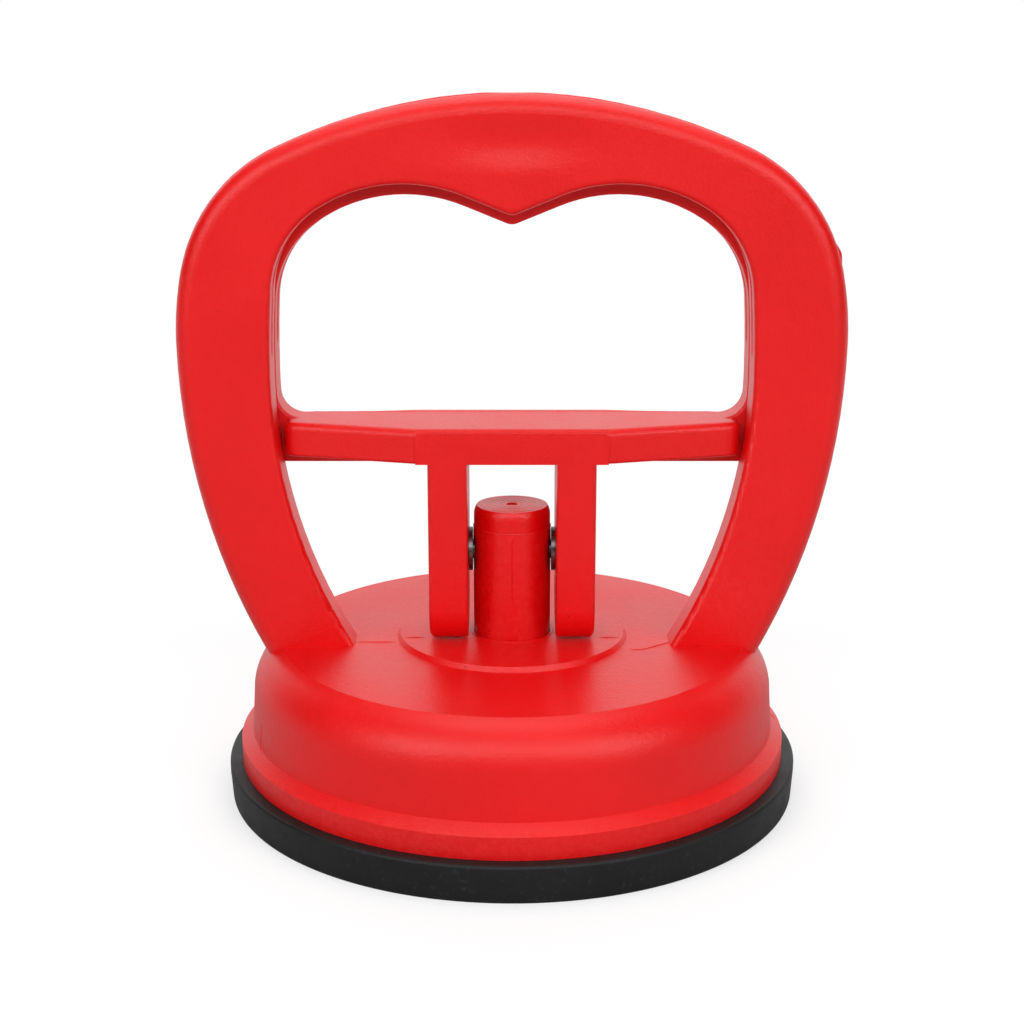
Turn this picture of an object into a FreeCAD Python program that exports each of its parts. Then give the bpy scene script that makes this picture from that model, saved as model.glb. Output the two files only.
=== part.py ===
"""Single-cup suction lifter for floor tiles, as a parametric FreeCAD document.

A rubber cup stands under a moulded dome that carries a fixed handle loop. A second loop, the
lever, lies behind it and pivots on a pin through a central post. Two cams under the lever ride
on the dome's pad, so swinging the lever upright lifts the post and the middle of the cup.

Axes: +X to the right, +Y to the rear, +Z up. Origin: middle of the cup's lip, on the floor.
"""
import FreeCAD, Part
import math
import os

import Sketcher

os.makedirs("parts", exist_ok=True)

Vector = FreeCAD.Vector
UP = Vector(0, 0, 1)

# Driving dimensions in millimetres, degrees or counts. Heights are taken from the piece below.
SIZES = [
    ("cup_radius", 59.0, "outer radius at the top of the cup's rim"),
    ("cup_taper", 0.4, "how much smaller the cup is on the floor"),
    ("cup_rim", 7.4, "height of the cup's rim"),
    ("cup_rim_round", 0.5, "rounding of the rim's top edge"),
    ("cup_lip", 12.0, "width of the flat sealing lip"),
    ("cup_skin", 5.0, "thickness of the cup's membrane"),
    ("cup_lift", 7.6, "height of the cavity under the middle of the raised cup"),
    ("cup_hub", 17.0, "radius of the thick middle of the cup"),
    ("cup_hub_cover", 2.9, "rubber above the insert plate"),
    ("cup_hub_slope", 2.0, "how far the hub's side leans in"),
    ("cup_bead", 2.6, "width of the bead that centres the dome"),
    ("cup_bead_rise", 1.8, "height of that bead above the rim"),
    ("insert_radius", 14.0, "radius of the moulded-in plate"),
    ("insert_thick", 2.0, "thickness of the moulded-in plate"),
    ("insert_cover", 3.0, "rubber below the insert plate"),
    ("insert_gap", 0.3, "gap round the steel inside the rubber"),
    ("insert_hole", 2.5, "radius of the plate's bonding holes"),
    ("insert_hole_ring", 9.0, "distance of the bonding holes from the axis"),
    ("insert_hole_count", 4, "number of bonding holes"),
    ("stud_radius", 4.0, "radius of the threaded stud"),
    ("stud_long", 25.4, "length of the stud above the plate"),
    ("stud_tip", 0.8, "chamfer at the stud's end"),
    ("flange_radius", 56.4, "outer radius of the dome's flange"),
    ("flange_high", 4.5, "height of the flange's rim"),
    ("flange_slope", 1.8, "rise of the flange's sloping top"),
    ("wall_foot", 54.0, "outer radius of the dome's wall at the flange"),
    ("wall_radius", 53.45, "outer radius of the dome's wall below the shoulder"),
    ("dome_high", 23.9, "height of the dome's top above the cup's rim"),
    ("shoulder_round", 10.0, "radius of the dome's shoulder"),
    ("shoulder_drop", 9.3, "depth of the shoulder below the dome's top"),
    ("dome_wall", 3.0, "wall thickness of the dome"),
    ("pad_radius", 23.2, "radius of the raised pad under the cams"),
    ("pad_high", 1.0, "height of the pad"),
    ("pad_slope", 0.6, "how much wider the pad is at its foot"),
    ("sleeve_wall", 3.0, "wall of the guide sleeve round the post"),
    ("sleeve_deep", 12.3, "length of the guide sleeve below the pad's top"),
    ("post_slip", 0.1, "radial clearance of the post in its sleeve"),
    ("rib_count", 8, "number of ribs under the dome"),
    ("rib_thick", 2.2, "thickness of a rib"),
    ("rib_deep_hub", 7.0, "depth of a rib at the sleeve"),
    ("rib_deep_wall", 13.0, "depth of a rib at the wall"),
    ("handle_top", 109.5, "height of the handle above the dome's top"),
    ("handle_half", 66.0, "half width of the handle outside"),
    ("handle_waist", 61.7, "height of the widest place above the dome's top"),
    ("crown_round", 107.0, "outer radius over the top of the handle"),
    ("corner_round", 34.0, "outer radius of the handle's upper corners"),
    ("flank_round", 65.4, "outer radius above the widest place"),
    ("side_round", 137.0, "outer radius below the widest place"),
    ("rail_width", 18.6, "width of the loops' rails at the waist"),
    ("window_waist", 54.7, "height of the window's widest place above the dome's top"),
    ("window_flank_round", 240.0, "window radius above its widest place"),
    ("window_side_round", 106.0, "window radius below its widest place"),
    ("window_corner_round", 20.0, "window radius of the upper corners"),
    ("lobe_round", 31.0, "window radius over each of its two lobes"),
    ("lobe_inset", 26.4, "distance of each lobe's top from the window's side"),
    ("lobe_drop", 16.8, "how far the lobes' tops lie below the handle's top"),
    ("beak_drop", 22.6, "how far the beak between the lobes reaches down"),
    ("beak_round", 3.0, "radius of the beak's tip"),
    ("lever_arch_drop", 2.5, "how much lower the lever's arch hangs than the fixed one"),
    ("loop_thick", 8.0, "thickness of each loop, front to rear"),
    ("loop_gap", 0.6, "gap between the two loops"),
    ("loop_edge", 3.6, "rounding of the loops' outer grip edges"),
    ("loop_inner_edge", 1.2, "rounding of the loops' inner grip edges"),
    ("loop_mating_edge", 0.6, "rounding of the edges where the loops meet"),
    ("foot_sink", 2.7, "how deep the handle's feet stand in the dome's top"),
    ("cam_high", 17.2, "height of the pin above the cams' feet, lever upright"),
    ("cam_gap", 0.3, "clearance between cams and pad"),
    ("cam_travel", 7.3, "drop of the post over the lever's whole swing"),
    ("lever_swing", 90.0, "swing of the lever, degrees"),
    ("leg_front", 11.7, "distance of the legs' front face from the pin"),
    ("leg_toe_round", 7.0, "rounding under the front of each leg"),
    ("leg_waste", 1.0, "stock beyond the legs' outline that the cam cut takes off"),
    ("leg_thick", 7.8, "thickness of each leg"),
    ("leg_outer_edge", 1.2, "rounding of the legs' outer edges"),
    ("leg_inner_edge", 0.5, "rounding of the legs' inner edges"),
    ("leg_gap", 1.0, "gap between leg and post"),
    ("bar_rise", 20.3, "height of the crossbar's underside above the pin"),
    ("bar_thick", 6.9, "thickness of the crossbar"),
    ("bar_end_gap", 1.8, "distance of the crossbar's ends from the window's side"),
    ("bar_flat", 19.3, "half width of the crossbar's straight middle"),
    ("bar_front_inset", 0.3, "how far the crossbar's front lies behind the legs' front"),
    ("bar_taper_front", 7.4, "how far the front runs back from the middle to the ends"),
    ("bar_taper_rear", 4.0, "how far the rear runs in from the middle to the ends"),
    ("bar_end_round", 2.5, "rounding of the crossbar's front corners"),
    ("bar_front_edge", 1.5, "rounding of the crossbar's upper front edge"),
    ("bar_low_edge", 0.8, "rounding of the crossbar's other edges"),
    ("ring_drop", 2.1, "how much lower the lever's ring reaches than the crossbar"),
    ("ring_corner_round", 6.0, "lower outer corners of the lever's ring"),
    ("window_floor_round", 5.0, "lower corners of the lever's window"),
    ("panel_half", 19.0, "half width of the raised panel over the legs"),
    ("panel_drop", 0.6, "how far the panel stays below the crossbar's top"),
    ("panel_corner", 1.1, "rounding of the panel's upper corners"),
    ("post_radius", 7.9, "radius of the post"),
    ("post_above", 9.4, "height of the post above the pin"),
    ("post_cap", 5.2, "height of the post's parting step above the pin"),
    ("post_step", 0.1, "depth of that step"),
    ("post_face", 7.2, "radius of the post's flat top"),
    ("post_round", 3.4, "rounding of the post's top edge"),
    ("post_lift_gap", 0.3, "clearance of the post above the cup's hub"),
    ("post_dimple", 1.2, "radius of the gate dimple in the post's top"),
    ("post_dimple_deep", 0.3, "depth of that dimple"),
    ("thread_spare", 1.0, "depth of the post's bore past the stud's end"),
    ("pin_radius", 2.0, "radius of the hinge pin"),
    ("pin_slip", 0.05, "radial clearance of the pin in the post"),
    ("pin_inset", 0.4, "how far the pin's ends lie inside the legs"),
    ("pin_chamfer", 0.4, "chamfer at the pin's ends"),
    ("washer_radius", 4.5, "outer radius of the washers"),
    ("washer_thick", 0.8, "thickness of the washers"),
    ("washer_slip", 0.15, "radial clearance of the washers on the pin"),
]

doc = FreeCAD.newDocument("suction_lifter")
sheet = doc.addObject("Spreadsheet::Sheet", "sizes")
for row, (alias, number, meaning) in enumerate(SIZES, start=1):
    sheet.set(f"A{row}", alias)
    sheet.set(f"B{row}", str(number))
    sheet.set(f"C{row}", meaning)
    sheet.setAlias(f"B{row}", alias)
doc.recompute()


class Size:
    """A number together with the sheet expression that gives it."""

    def __init__(self, number, text):
        self.number = float(number)
        self.text = text

    def __add__(self, other):
        other = as_size(other)
        return Size(self.number + other.number, f"({self.text} + {other.text})")

    def __sub__(self, other):
        other = as_size(other)
        return Size(self.number - other.number, f"({self.text} - {other.text})")

    def __mul__(self, other):
        other = as_size(other)
        return Size(self.number * other.number, f"({self.text} * {other.text})")

    def __truediv__(self, other):
        other = as_size(other)
        return Size(self.number / other.number, f"({self.text} / {other.text})")

    def __neg__(self):
        return Size(-self.number, f"(0 - {self.text})")


def as_size(thing):
    """Turn a plain number into a Size, and leave a Size as it is."""
    return thing if isinstance(thing, Size) else Size(thing, repr(thing))


def size(alias):
    """The driving dimension of that name, as the sheet holds it."""
    return Size(getattr(sheet, alias), f"sizes.{alias}")


ZERO = as_size(0.0)
CAM_ARCS = 5
EDGE_SLACK = 0.5
FACE_SLACK = 0.1

# Heights above the floor and places that several pieces share.
RIM_TOP = size("cup_rim")
DOME_TOP = RIM_TOP + size("dome_high")
PAD_TOP = DOME_TOP + size("pad_high")
PIN_Z = PAD_TOP + size("cam_gap") + size("cam_high")
HANDLE_TOP = DOME_TOP + size("handle_top")
BAR_BOTTOM = PIN_Z + size("bar_rise")
BAR_TOP = BAR_BOTTOM + size("bar_thick")
RING_BOTTOM = BAR_BOTTOM - size("ring_drop")
LEG_INNER = size("post_radius") + size("leg_gap")
LEG_OUTER = LEG_INNER + size("leg_thick")
INSERT_BOTTOM = size("cup_lift") + size("insert_cover")
INSERT_TOP = INSERT_BOTTOM + size("insert_thick")
HUB_TOP = INSERT_TOP + size("cup_hub_cover")
POST_BOTTOM = HUB_TOP + size("post_lift_gap")
STUD_TOP = INSERT_TOP + size("stud_long")
SKIRT_INNER = size("wall_radius") - size("dome_wall")
LEG_REAR = size("cam_high") - size("cam_travel")
HALF_GAP = size("loop_gap") / 2
GRIP_FACE = HALF_GAP + size("loop_thick")
WINDOW_HALF = size("handle_half") - size("rail_width")


# ---------------------------------------------------------------- sketching and features

def new_body(label):
    """An empty body whose Label names the node and its file."""
    body = doc.addObject("PartDesign::Body", label)
    body.Label = label
    return body


def origin_feature(body, role):
    """One of the body's own origin planes or axes."""
    return next(item for item in body.Origin.OriginFeatures if item.Role == role)


def new_sketch(body, name, plane, offset=None):
    """A sketch on an origin plane, moved along the plane's normal by offset."""
    sketch = body.newObject("Sketcher::SketchObject", name)
    sketch.AttachmentSupport = (origin_feature(body, plane), [""])
    sketch.MapMode = "FlatFace"
    if offset is not None:
        sketch.AttachmentOffset = FreeCAD.Placement(Vector(0, 0, offset.number), FreeCAD.Rotation())
        sketch.setExpression("AttachmentOffset.Base.z", offset.text)
    return sketch


def tie(sketch, kind, ends, amount):
    """Add one dimension and bind it to its sheet expression."""
    number, text = amount.number, amount.text
    if kind in ("DistanceX", "DistanceY") and number < 0:
        ends = ends[2:] + ends[:2]
        number, text = -number, f"(0 - {text})"
    index = sketch.addConstraint(Sketcher.Constraint(kind, *ends, number))
    name = f"{kind.lower()}_{index}"
    sketch.renameConstraint(index, name)
    sketch.setExpression(f"Constraints.{name}", text)


def place(sketch, geo, pos, across=None, up=None):
    """Give a point its place across and up from the sketch's origin."""
    for kind, axis, amount in (("DistanceX", -2, across), ("DistanceY", -1, up)):
        if amount is None:
            continue
        if abs(amount.number) < 1e-9:
            sketch.addConstraint(Sketcher.Constraint("PointOnObject", geo, pos, axis))
        else:
            tie(sketch, kind, (-1, 1, geo, pos), amount)


def join(sketch, *links):
    """Join end points: each link is (geo, pos, geo, pos, smooth)."""
    for first, first_pos, second, second_pos, smooth in links:
        kind = "Tangent" if smooth else "Coincident"
        sketch.addConstraint(Sketcher.Constraint(kind, first, first_pos, second, second_pos))


def add_line(sketch, start, end):
    """A straight line between two points given as plain numbers."""
    return sketch.addGeometry(Part.LineSegment(Vector(*start, 0), Vector(*end, 0)))


def add_arc(sketch, centre, radius, start, end, tied=True):
    """An arc that turns anticlockwise about centre from start to end, its radius tied or free."""
    angles = [math.atan2(point[1] - centre[1], point[0] - centre[0]) for point in (start, end)]
    circle = Part.Circle(Vector(*centre, 0), UP, radius.number)
    if angles[1] <= angles[0]:
        angles[1] += 2 * math.pi
    geo = sketch.addGeometry(Part.ArcOfCircle(circle, *angles))
    if tied:
        tie(sketch, "Radius", (geo,), radius)
    return geo


def add_circle(sketch, across, up, radius):
    """A whole circle, with its place and radius tied."""
    centre = Vector(across.number, up.number, 0)
    geo = sketch.addGeometry(Part.Circle(centre, UP, radius.number))
    tie(sketch, "Radius", (geo,), radius)
    place(sketch, geo, 3, across, up)
    return geo


def add_polygon(sketch, points):
    """A closed outline of straight lines through points, each tied to the sheet."""
    spots = [(across.number, up.number) for across, up in points]
    first = [add_line(sketch, spot, spots[(k + 1) % len(spots)]) for k, spot in enumerate(spots)][0]
    for k, (across, up) in enumerate(points):
        follower = first + (k + 1) % len(points)
        join(sketch, (first + k, 2, follower, 1, False))
        place(sketch, first + k, 1, across, up)
    return first


def feature(body, kind, name, profile=None, **settings):
    """A body feature. Size values are bound to the sheet, and others are set as they are."""
    item = body.newObject(f"PartDesign::{kind}", name)
    if profile is not None:
        item.Profile = profile
    for key, setting in settings.items():
        if isinstance(setting, Size):
            item.setExpression(key, setting.text)
        else:
            setattr(item, key, setting)
    doc.recompute()
    return item


def revolve(body, name, sketch):
    """Turn a sketch on the XZ plane once round the vertical axis."""
    axis = (sketch, ["V_Axis"])
    return feature(body, "Revolution", name, sketch, ReferenceAxis=axis, Angle=360.0)


def mirror(body, name, originals):
    """Mirror features to the left side."""
    plane = (origin_feature(body, "YZ_Plane"), [""])
    item = feature(body, "Mirrored", name, Originals=originals, MirrorPlane=plane)
    body.Tip = item
    return item


def round_edges(body, name, radius, chosen):
    """Round the edges of the body's shape that the function chosen picks."""
    base = body.Tip
    names = [f"Edge{k}" for k, edge in enumerate(base.Shape.Edges, start=1) if chosen(edge)]
    return feature(body, "Fillet", name, Base=(base, names), Radius=radius)


def edge_box(edge):
    """The edge's bounding box."""
    return edge.BoundBox


def lies_at_y(edge, place_y):
    """True for an edge that lies wholly in the plane Y = place_y."""
    box = edge_box(edge)
    return abs(box.YMin - place_y) < 1e-4 and abs(box.YMax - place_y) < 1e-4


# ---------------------------------------------------------------- the two handle loops

def circles_meet(first, first_radius, second, second_radius):
    """The outermost point that lies at the two given distances from two centres."""
    gap_x, gap_y = second[0] - first[0], second[1] - first[1]
    gap = math.hypot(gap_x, gap_y)
    along = (first_radius ** 2 - second_radius ** 2 + gap ** 2) / (2 * gap)
    aside = math.sqrt(first_radius ** 2 - along ** 2)
    foot = (first[0] + gap_x * along / gap, first[1] + gap_y * along / gap)
    spots = [(foot[0] - gap_y * turn / gap, foot[1] + gap_x * turn / gap) for turn in (aside, -aside)]
    return max(spots, key=lambda spot: spot[0] + spot[1])


def away(centre, through, distance):
    """The point at a distance from centre on the ray from centre through another point."""
    span = math.hypot(through[0] - centre[0], through[1] - centre[1])
    share = distance / span
    return (centre[0] + (through[0] - centre[0]) * share, centre[1] + (through[1] - centre[1]) * share)


def below(centre, radius, height):
    """The point on the right of a circle at the given height."""
    return (centre[0] + math.sqrt(radius ** 2 - (height - centre[1]) ** 2), height)


def draw_outside(sketch, low):
    """Right half of the handle's outer line, from the top down to the height low."""
    crown, corner = size("crown_round"), size("corner_round")
    flank, side = size("flank_round"), size("side_round")
    half, waist = size("handle_half"), DOME_TOP + size("handle_waist")
    top = (0.0, HANDLE_TOP.number)
    wide = (half.number, waist.number)
    crown_mid = (0.0, top[1] - crown.number)
    flank_mid = (half.number - flank.number, waist.number)
    side_mid = (half.number - side.number, waist.number)
    corner_mid = circles_meet(crown_mid, crown.number - corner.number,
                              flank_mid, flank.number - corner.number)
    after_crown = away(crown_mid, corner_mid, crown.number)
    after_corner = away(flank_mid, corner_mid, flank.number)
    end = below(side_mid, side.number, low)
    arcs = [add_arc(sketch, crown_mid, crown, after_crown, top),
            add_arc(sketch, corner_mid, corner, after_corner, after_crown),
            add_arc(sketch, flank_mid, flank, wide, after_corner),
            add_arc(sketch, side_mid, side, end, wide)]
    for upper, lower in zip(arcs, arcs[1:]):
        join(sketch, (upper, 1, lower, 2, True))
    place(sketch, arcs[0], 2, ZERO, HANDLE_TOP)
    place(sketch, arcs[0], 3, ZERO)
    place(sketch, arcs[3], 2, half, waist)
    place(sketch, arcs[3], 3, up=waist)
    return arcs[0], arcs[3], end


def draw_window(sketch, start, arch_drop):
    """Right half of the window's line, from start on its side up to the beak in the middle."""
    flank, side = size("window_flank_round"), size("window_side_round")
    corner, lobe, beak = size("window_corner_round"), size("lobe_round"), size("beak_round")
    half, waist = WINDOW_HALF, DOME_TOP + size("window_waist")
    lobe_x = half - size("lobe_inset")
    lobe_z = HANDLE_TOP - size("lobe_drop") - arch_drop - lobe
    beak_low = HANDLE_TOP - size("beak_drop") - arch_drop
    wide = (half.number, waist.number)
    side_mid = (half.number - side.number, waist.number)
    flank_mid = (half.number - flank.number, waist.number)
    lobe_mid = (lobe_x.number, lobe_z.number)
    beak_mid = (0.0, beak_low.number + beak.number)
    corner_mid = circles_meet(lobe_mid, lobe.number - corner.number,
                              flank_mid, flank.number - corner.number)
    after_flank = away(flank_mid, corner_mid, flank.number)
    after_corner = away(lobe_mid, corner_mid, lobe.number)
    run_x, run_y = lobe_mid[0] - beak_mid[0], lobe_mid[1] - beak_mid[1]
    lean = math.acos((lobe.number + beak.number) / math.hypot(run_x, run_y))
    facing = math.atan2(run_y, run_x) - lean
    after_beak = (beak_mid[0] + beak.number * math.cos(facing), beak_mid[1] + beak.number * math.sin(facing))
    after_lobe = (lobe_mid[0] - lobe.number * math.cos(facing), lobe_mid[1] - lobe.number * math.sin(facing))
    arcs = [add_arc(sketch, side_mid, side, start, wide),
            add_arc(sketch, flank_mid, flank, wide, after_flank),
            add_arc(sketch, corner_mid, corner, after_flank, after_corner),
            add_arc(sketch, lobe_mid, lobe, after_corner, after_lobe)]
    for lower, upper in zip(arcs, arcs[1:]):
        join(sketch, (lower, 2, upper, 1, True))
    slope = add_line(sketch, after_lobe, after_beak)
    tip = add_arc(sketch, beak_mid, beak, (0.0, beak_low.number), after_beak)
    join(sketch, (arcs[3], 2, slope, 1, True), (slope, 2, tip, 2, True))
    place(sketch, arcs[0], 2, half, waist)
    place(sketch, arcs[0], 3, up=waist)
    place(sketch, arcs[3], 3, lobe_x, lobe_z)
    place(sketch, tip, 1, ZERO, beak_low)
    place(sketch, tip, 3, ZERO)
    return arcs[0], tip, beak_low


def close_at_top(sketch, tip, beak_low, crown):
    """Close a half loop on the middle plane, from the beak up to the handle's top."""
    spine = add_line(sketch, (0.0, beak_low.number), (0.0, HANDLE_TOP.number))
    join(sketch, (tip, 1, spine, 1, False), (spine, 2, crown, 2, False))


def draw_fixed_loop(sketch):
    """Right half of the fixed loop, which ends in a foot inside the dome's top."""
    foot = DOME_TOP - size("foot_sink")
    crown, side, foot_outer = draw_outside(sketch, foot.number)
    window_mid = (WINDOW_HALF.number - size("window_side_round").number,
                  (DOME_TOP + size("window_waist")).number)
    foot_inner = below(window_mid, size("window_side_round").number, foot.number)
    inner, tip, beak_low = draw_window(sketch, foot_inner, ZERO)
    sole = add_line(sketch, foot_outer, foot_inner)
    join(sketch, (side, 1, sole, 1, False), (sole, 2, inner, 1, False))
    sketch.addConstraint(Sketcher.Constraint("Horizontal", sole))
    place(sketch, sole, 1, up=foot)
    close_at_top(sketch, tip, beak_low, crown)


def corner_centre(side_mid, side_radius, corner_radius, height):
    """Centre of a corner arc inside a larger side arc, at the given height."""
    return below(side_mid, side_radius - corner_radius, height)


def draw_lever_loop(sketch):
    """Right half of the lever's closed loop, with rounded lower corners."""
    corner, floor = size("ring_corner_round"), size("window_floor_round")
    waist = (DOME_TOP + size("handle_waist")).number
    side_mid = (size("handle_half").number - size("side_round").number, waist)
    corner_mid = corner_centre(side_mid, size("side_round").number, corner.number,
                               RING_BOTTOM.number + corner.number)
    turn = away(side_mid, corner_mid, size("side_round").number)
    crown, side, start = draw_outside(sketch, turn[1])
    low = (corner_mid[0], RING_BOTTOM.number)
    outer = add_arc(sketch, corner_mid, corner, low, start)
    sole = add_line(sketch, low, (0.0, RING_BOTTOM.number))
    join(sketch, (side, 1, outer, 2, True), (outer, 1, sole, 1, True))
    sketch.addConstraint(Sketcher.Constraint("Horizontal", sole))
    place(sketch, sole, 2, ZERO, RING_BOTTOM)

    window_mid = (WINDOW_HALF.number - size("window_side_round").number,
                  (DOME_TOP + size("window_waist")).number)
    window_radius = size("window_side_round").number
    floor_mid = corner_centre(window_mid, window_radius, floor.number, BAR_TOP.number + floor.number)
    rise = away(window_mid, floor_mid, window_radius)
    inner, tip, beak_low = draw_window(sketch, rise, size("lever_arch_drop"))
    sill = add_line(sketch, (0.0, BAR_TOP.number), (floor_mid[0], BAR_TOP.number))
    bend = add_arc(sketch, floor_mid, floor, (floor_mid[0], BAR_TOP.number), rise)
    join(sketch, (sill, 2, bend, 1, True), (bend, 2, inner, 1, True))
    sketch.addConstraint(Sketcher.Constraint("Horizontal", sill))
    place(sketch, sill, 1, ZERO, BAR_TOP)
    spine = add_line(sketch, (0.0, RING_BOTTOM.number), (0.0, BAR_TOP.number))
    join(sketch, (sole, 2, spine, 1, False), (spine, 2, sill, 1, False))
    close_at_top(sketch, tip, beak_low, crown)


def inside_window_line(edge, arch_drop):
    """True for a loop's edge on its window side, and false for one on its outer side."""
    probe = edge.valueAt((edge.FirstParameter + edge.LastParameter) / 2)
    half_window = WINDOW_HALF.number + EDGE_SLACK
    lobe_top = (HANDLE_TOP - size("lobe_drop")).number - arch_drop + EDGE_SLACK
    return abs(probe.x) < half_window and BAR_TOP.number - EDGE_SLACK < probe.z < lobe_top


def round_loop(body, grip_y, mating_y, arch_drop, has_feet):
    """Round the grip side generously outside, lightly inside, and break the mating edges."""
    low = (DOME_TOP - size("foot_sink")).number

    def is_rim(edge, place_y):
        box = edge_box(edge)
        return lies_at_y(edge, place_y) and not (has_feet and box.ZMax < low + 1e-3)

    def is_window(edge):
        probe = edge.valueAt((edge.FirstParameter + edge.LastParameter) / 2)
        if has_feet:
            mid_leg = (size("handle_half") - size("rail_width") / 2).number
            spread = (size("side_round").number, size("window_side_round").number)
            drop = DOME_TOP.number + size("window_waist").number - probe.z
            if drop > 0:
                mid_leg -= drop ** 2 / sum(spread)
            lobe_top = (HANDLE_TOP - size("lobe_drop")).number
            return abs(probe.x) < mid_leg and probe.z < lobe_top + EDGE_SLACK
        return inside_window_line(edge, arch_drop)

    round_edges(body, "grip_outer_round", size("loop_edge"),
                lambda edge: is_rim(edge, grip_y) and not is_window(edge))
    round_edges(body, "grip_inner_round", size("loop_inner_edge"),
                lambda edge: is_rim(edge, grip_y) and is_window(edge))
    round_edges(body, "mating_round", size("loop_mating_edge"),
                lambda edge: is_rim(edge, mating_y))


# ---------------------------------------------------------------- moulded housing

def draw_dome(sketch):
    """Half section of the dome: pad, top, shoulder, wall, flange, and the sleeve inside."""
    bore = size("post_radius") + size("post_slip")
    sleeve = bore + size("sleeve_wall")
    pad_foot = size("pad_radius") + size("pad_slope")
    shoulder, wall = size("shoulder_round"), size("dome_wall")
    shoulder_z = DOME_TOP - size("shoulder_drop")
    shoulder_x = size("wall_radius") - shoulder
    flange_top = RIM_TOP + size("flange_high")
    skirt = SKIRT_INNER
    ceiling = DOME_TOP - wall
    mid = (shoulder_x.number, shoulder_z.number)
    crease = below(mid, shoulder.number, DOME_TOP.number)
    inner_radius = shoulder - wall
    inner_crease = below(mid, inner_radius.number, ceiling.number)
    spots = [(bore, PAD_TOP), (size("pad_radius"), PAD_TOP), (pad_foot, DOME_TOP)]
    top = [add_line(sketch, (spots[k][0].number, spots[k][1].number),
                    (spots[k + 1][0].number, spots[k + 1][1].number)) for k in range(2)]
    plate = add_line(sketch, (pad_foot.number, DOME_TOP.number), crease)
    wall_top = (size("wall_radius").number, shoulder_z.number)
    bend = add_arc(sketch, mid, shoulder, wall_top, crease)
    wall_low = (size("wall_foot").number, (flange_top + size("flange_slope")).number)
    outer = add_line(sketch, wall_top, wall_low)
    lower = [(size("wall_foot"), flange_top + size("flange_slope")), (size("flange_radius"), flange_top),
             (size("flange_radius"), RIM_TOP), (skirt, RIM_TOP), (skirt, shoulder_z)]
    edges = [add_line(sketch, (lower[k][0].number, lower[k][1].number),
                      (lower[k + 1][0].number, lower[k + 1][1].number)) for k in range(4)]
    inner_bend = add_arc(sketch, mid, inner_radius, (skirt.number, shoulder_z.number), inner_crease)
    sleeve_low = PAD_TOP - size("sleeve_deep")
    under = add_line(sketch, inner_crease, (sleeve.number, ceiling.number))
    tail = [(sleeve, ceiling), (sleeve, sleeve_low), (bore, sleeve_low), (bore, PAD_TOP)]
    ends = [add_line(sketch, (tail[k][0].number, tail[k][1].number),
                     (tail[k + 1][0].number, tail[k + 1][1].number)) for k in range(3)]
    join(sketch, (top[0], 2, top[1], 1, False), (top[1], 2, plate, 1, False), (plate, 2, bend, 2, False),
         (bend, 1, outer, 1, False), (outer, 2, edges[0], 1, False), (edges[0], 2, edges[1], 1, False),
         (edges[1], 2, edges[2], 1, False), (edges[2], 2, edges[3], 1, False),
         (edges[3], 2, inner_bend, 1, False), (inner_bend, 2, under, 1, False),
         (under, 2, ends[0], 1, False), (ends[0], 2, ends[1], 1, False), (ends[1], 2, ends[2], 1, False),
         (ends[2], 2, top[0], 1, False))
    place(sketch, top[0], 1, bore, PAD_TOP)
    place(sketch, top[1], 1, *spots[1])
    place(sketch, plate, 1, *spots[2])
    place(sketch, bend, 3, shoulder_x, shoulder_z)
    place(sketch, bend, 1, up=shoulder_z)
    place(sketch, bend, 2, up=DOME_TOP)
    for edge, corner in zip(edges, lower):
        place(sketch, edge, 1, *corner)
    place(sketch, inner_bend, 3, shoulder_x, shoulder_z)
    place(sketch, inner_bend, 1, up=shoulder_z)
    place(sketch, inner_bend, 2, up=ceiling)
    for edge, corner in zip(ends, tail):
        place(sketch, edge, 1, *corner)


def draw_rib(sketch):
    """Outline of one rib between the guide sleeve and the wall, let into both and the top."""
    wall = size("dome_wall")
    sink = wall / 2
    inner = size("post_radius") + size("post_slip") + size("sleeve_wall") - sink
    outer = SKIRT_INNER + sink
    ceiling = DOME_TOP - wall
    shoulder_z = DOME_TOP - size("shoulder_drop")
    hip = size("wall_radius") - size("shoulder_round")
    add_polygon(sketch, [
        (inner, ceiling + sink), (hip, ceiling + sink), (outer, shoulder_z),
        (outer, ceiling - size("rib_deep_wall")), (inner, ceiling - size("rib_deep_hub"))])


def make_housing():
    """Fixed handle loop, dome, flange, pad, guide sleeve and ribs: one moulding."""
    body = new_body("handle_housing")
    loop = new_sketch(body, "fixed_loop_outline", "XZ_Plane", HALF_GAP)
    draw_fixed_loop(loop)
    half = feature(body, "Pad", "fixed_loop_half", loop, Length=size("loop_thick"))
    mirror(body, "fixed_loop", [half])
    grip_y = -GRIP_FACE.number
    round_loop(body, grip_y, -HALF_GAP.number, 0.0, True)
    dome = new_sketch(body, "dome_section", "XZ_Plane")
    draw_dome(dome)
    revolve(body, "dome", dome)
    rib = new_sketch(body, "rib_outline", "XZ_Plane")
    draw_rib(rib)
    web = feature(body, "Pad", "rib", rib, Length=size("rib_thick"), SideType="Symmetric")
    axis = (origin_feature(body, "Z_Axis"), [""])
    ring = feature(body, "PolarPattern", "ribs", Originals=[web], Axis=axis, Angle=360.0,
                   Occurrences=size("rib_count"))
    body.Tip = ring
    return body


# ---------------------------------------------------------------- lever

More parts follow.
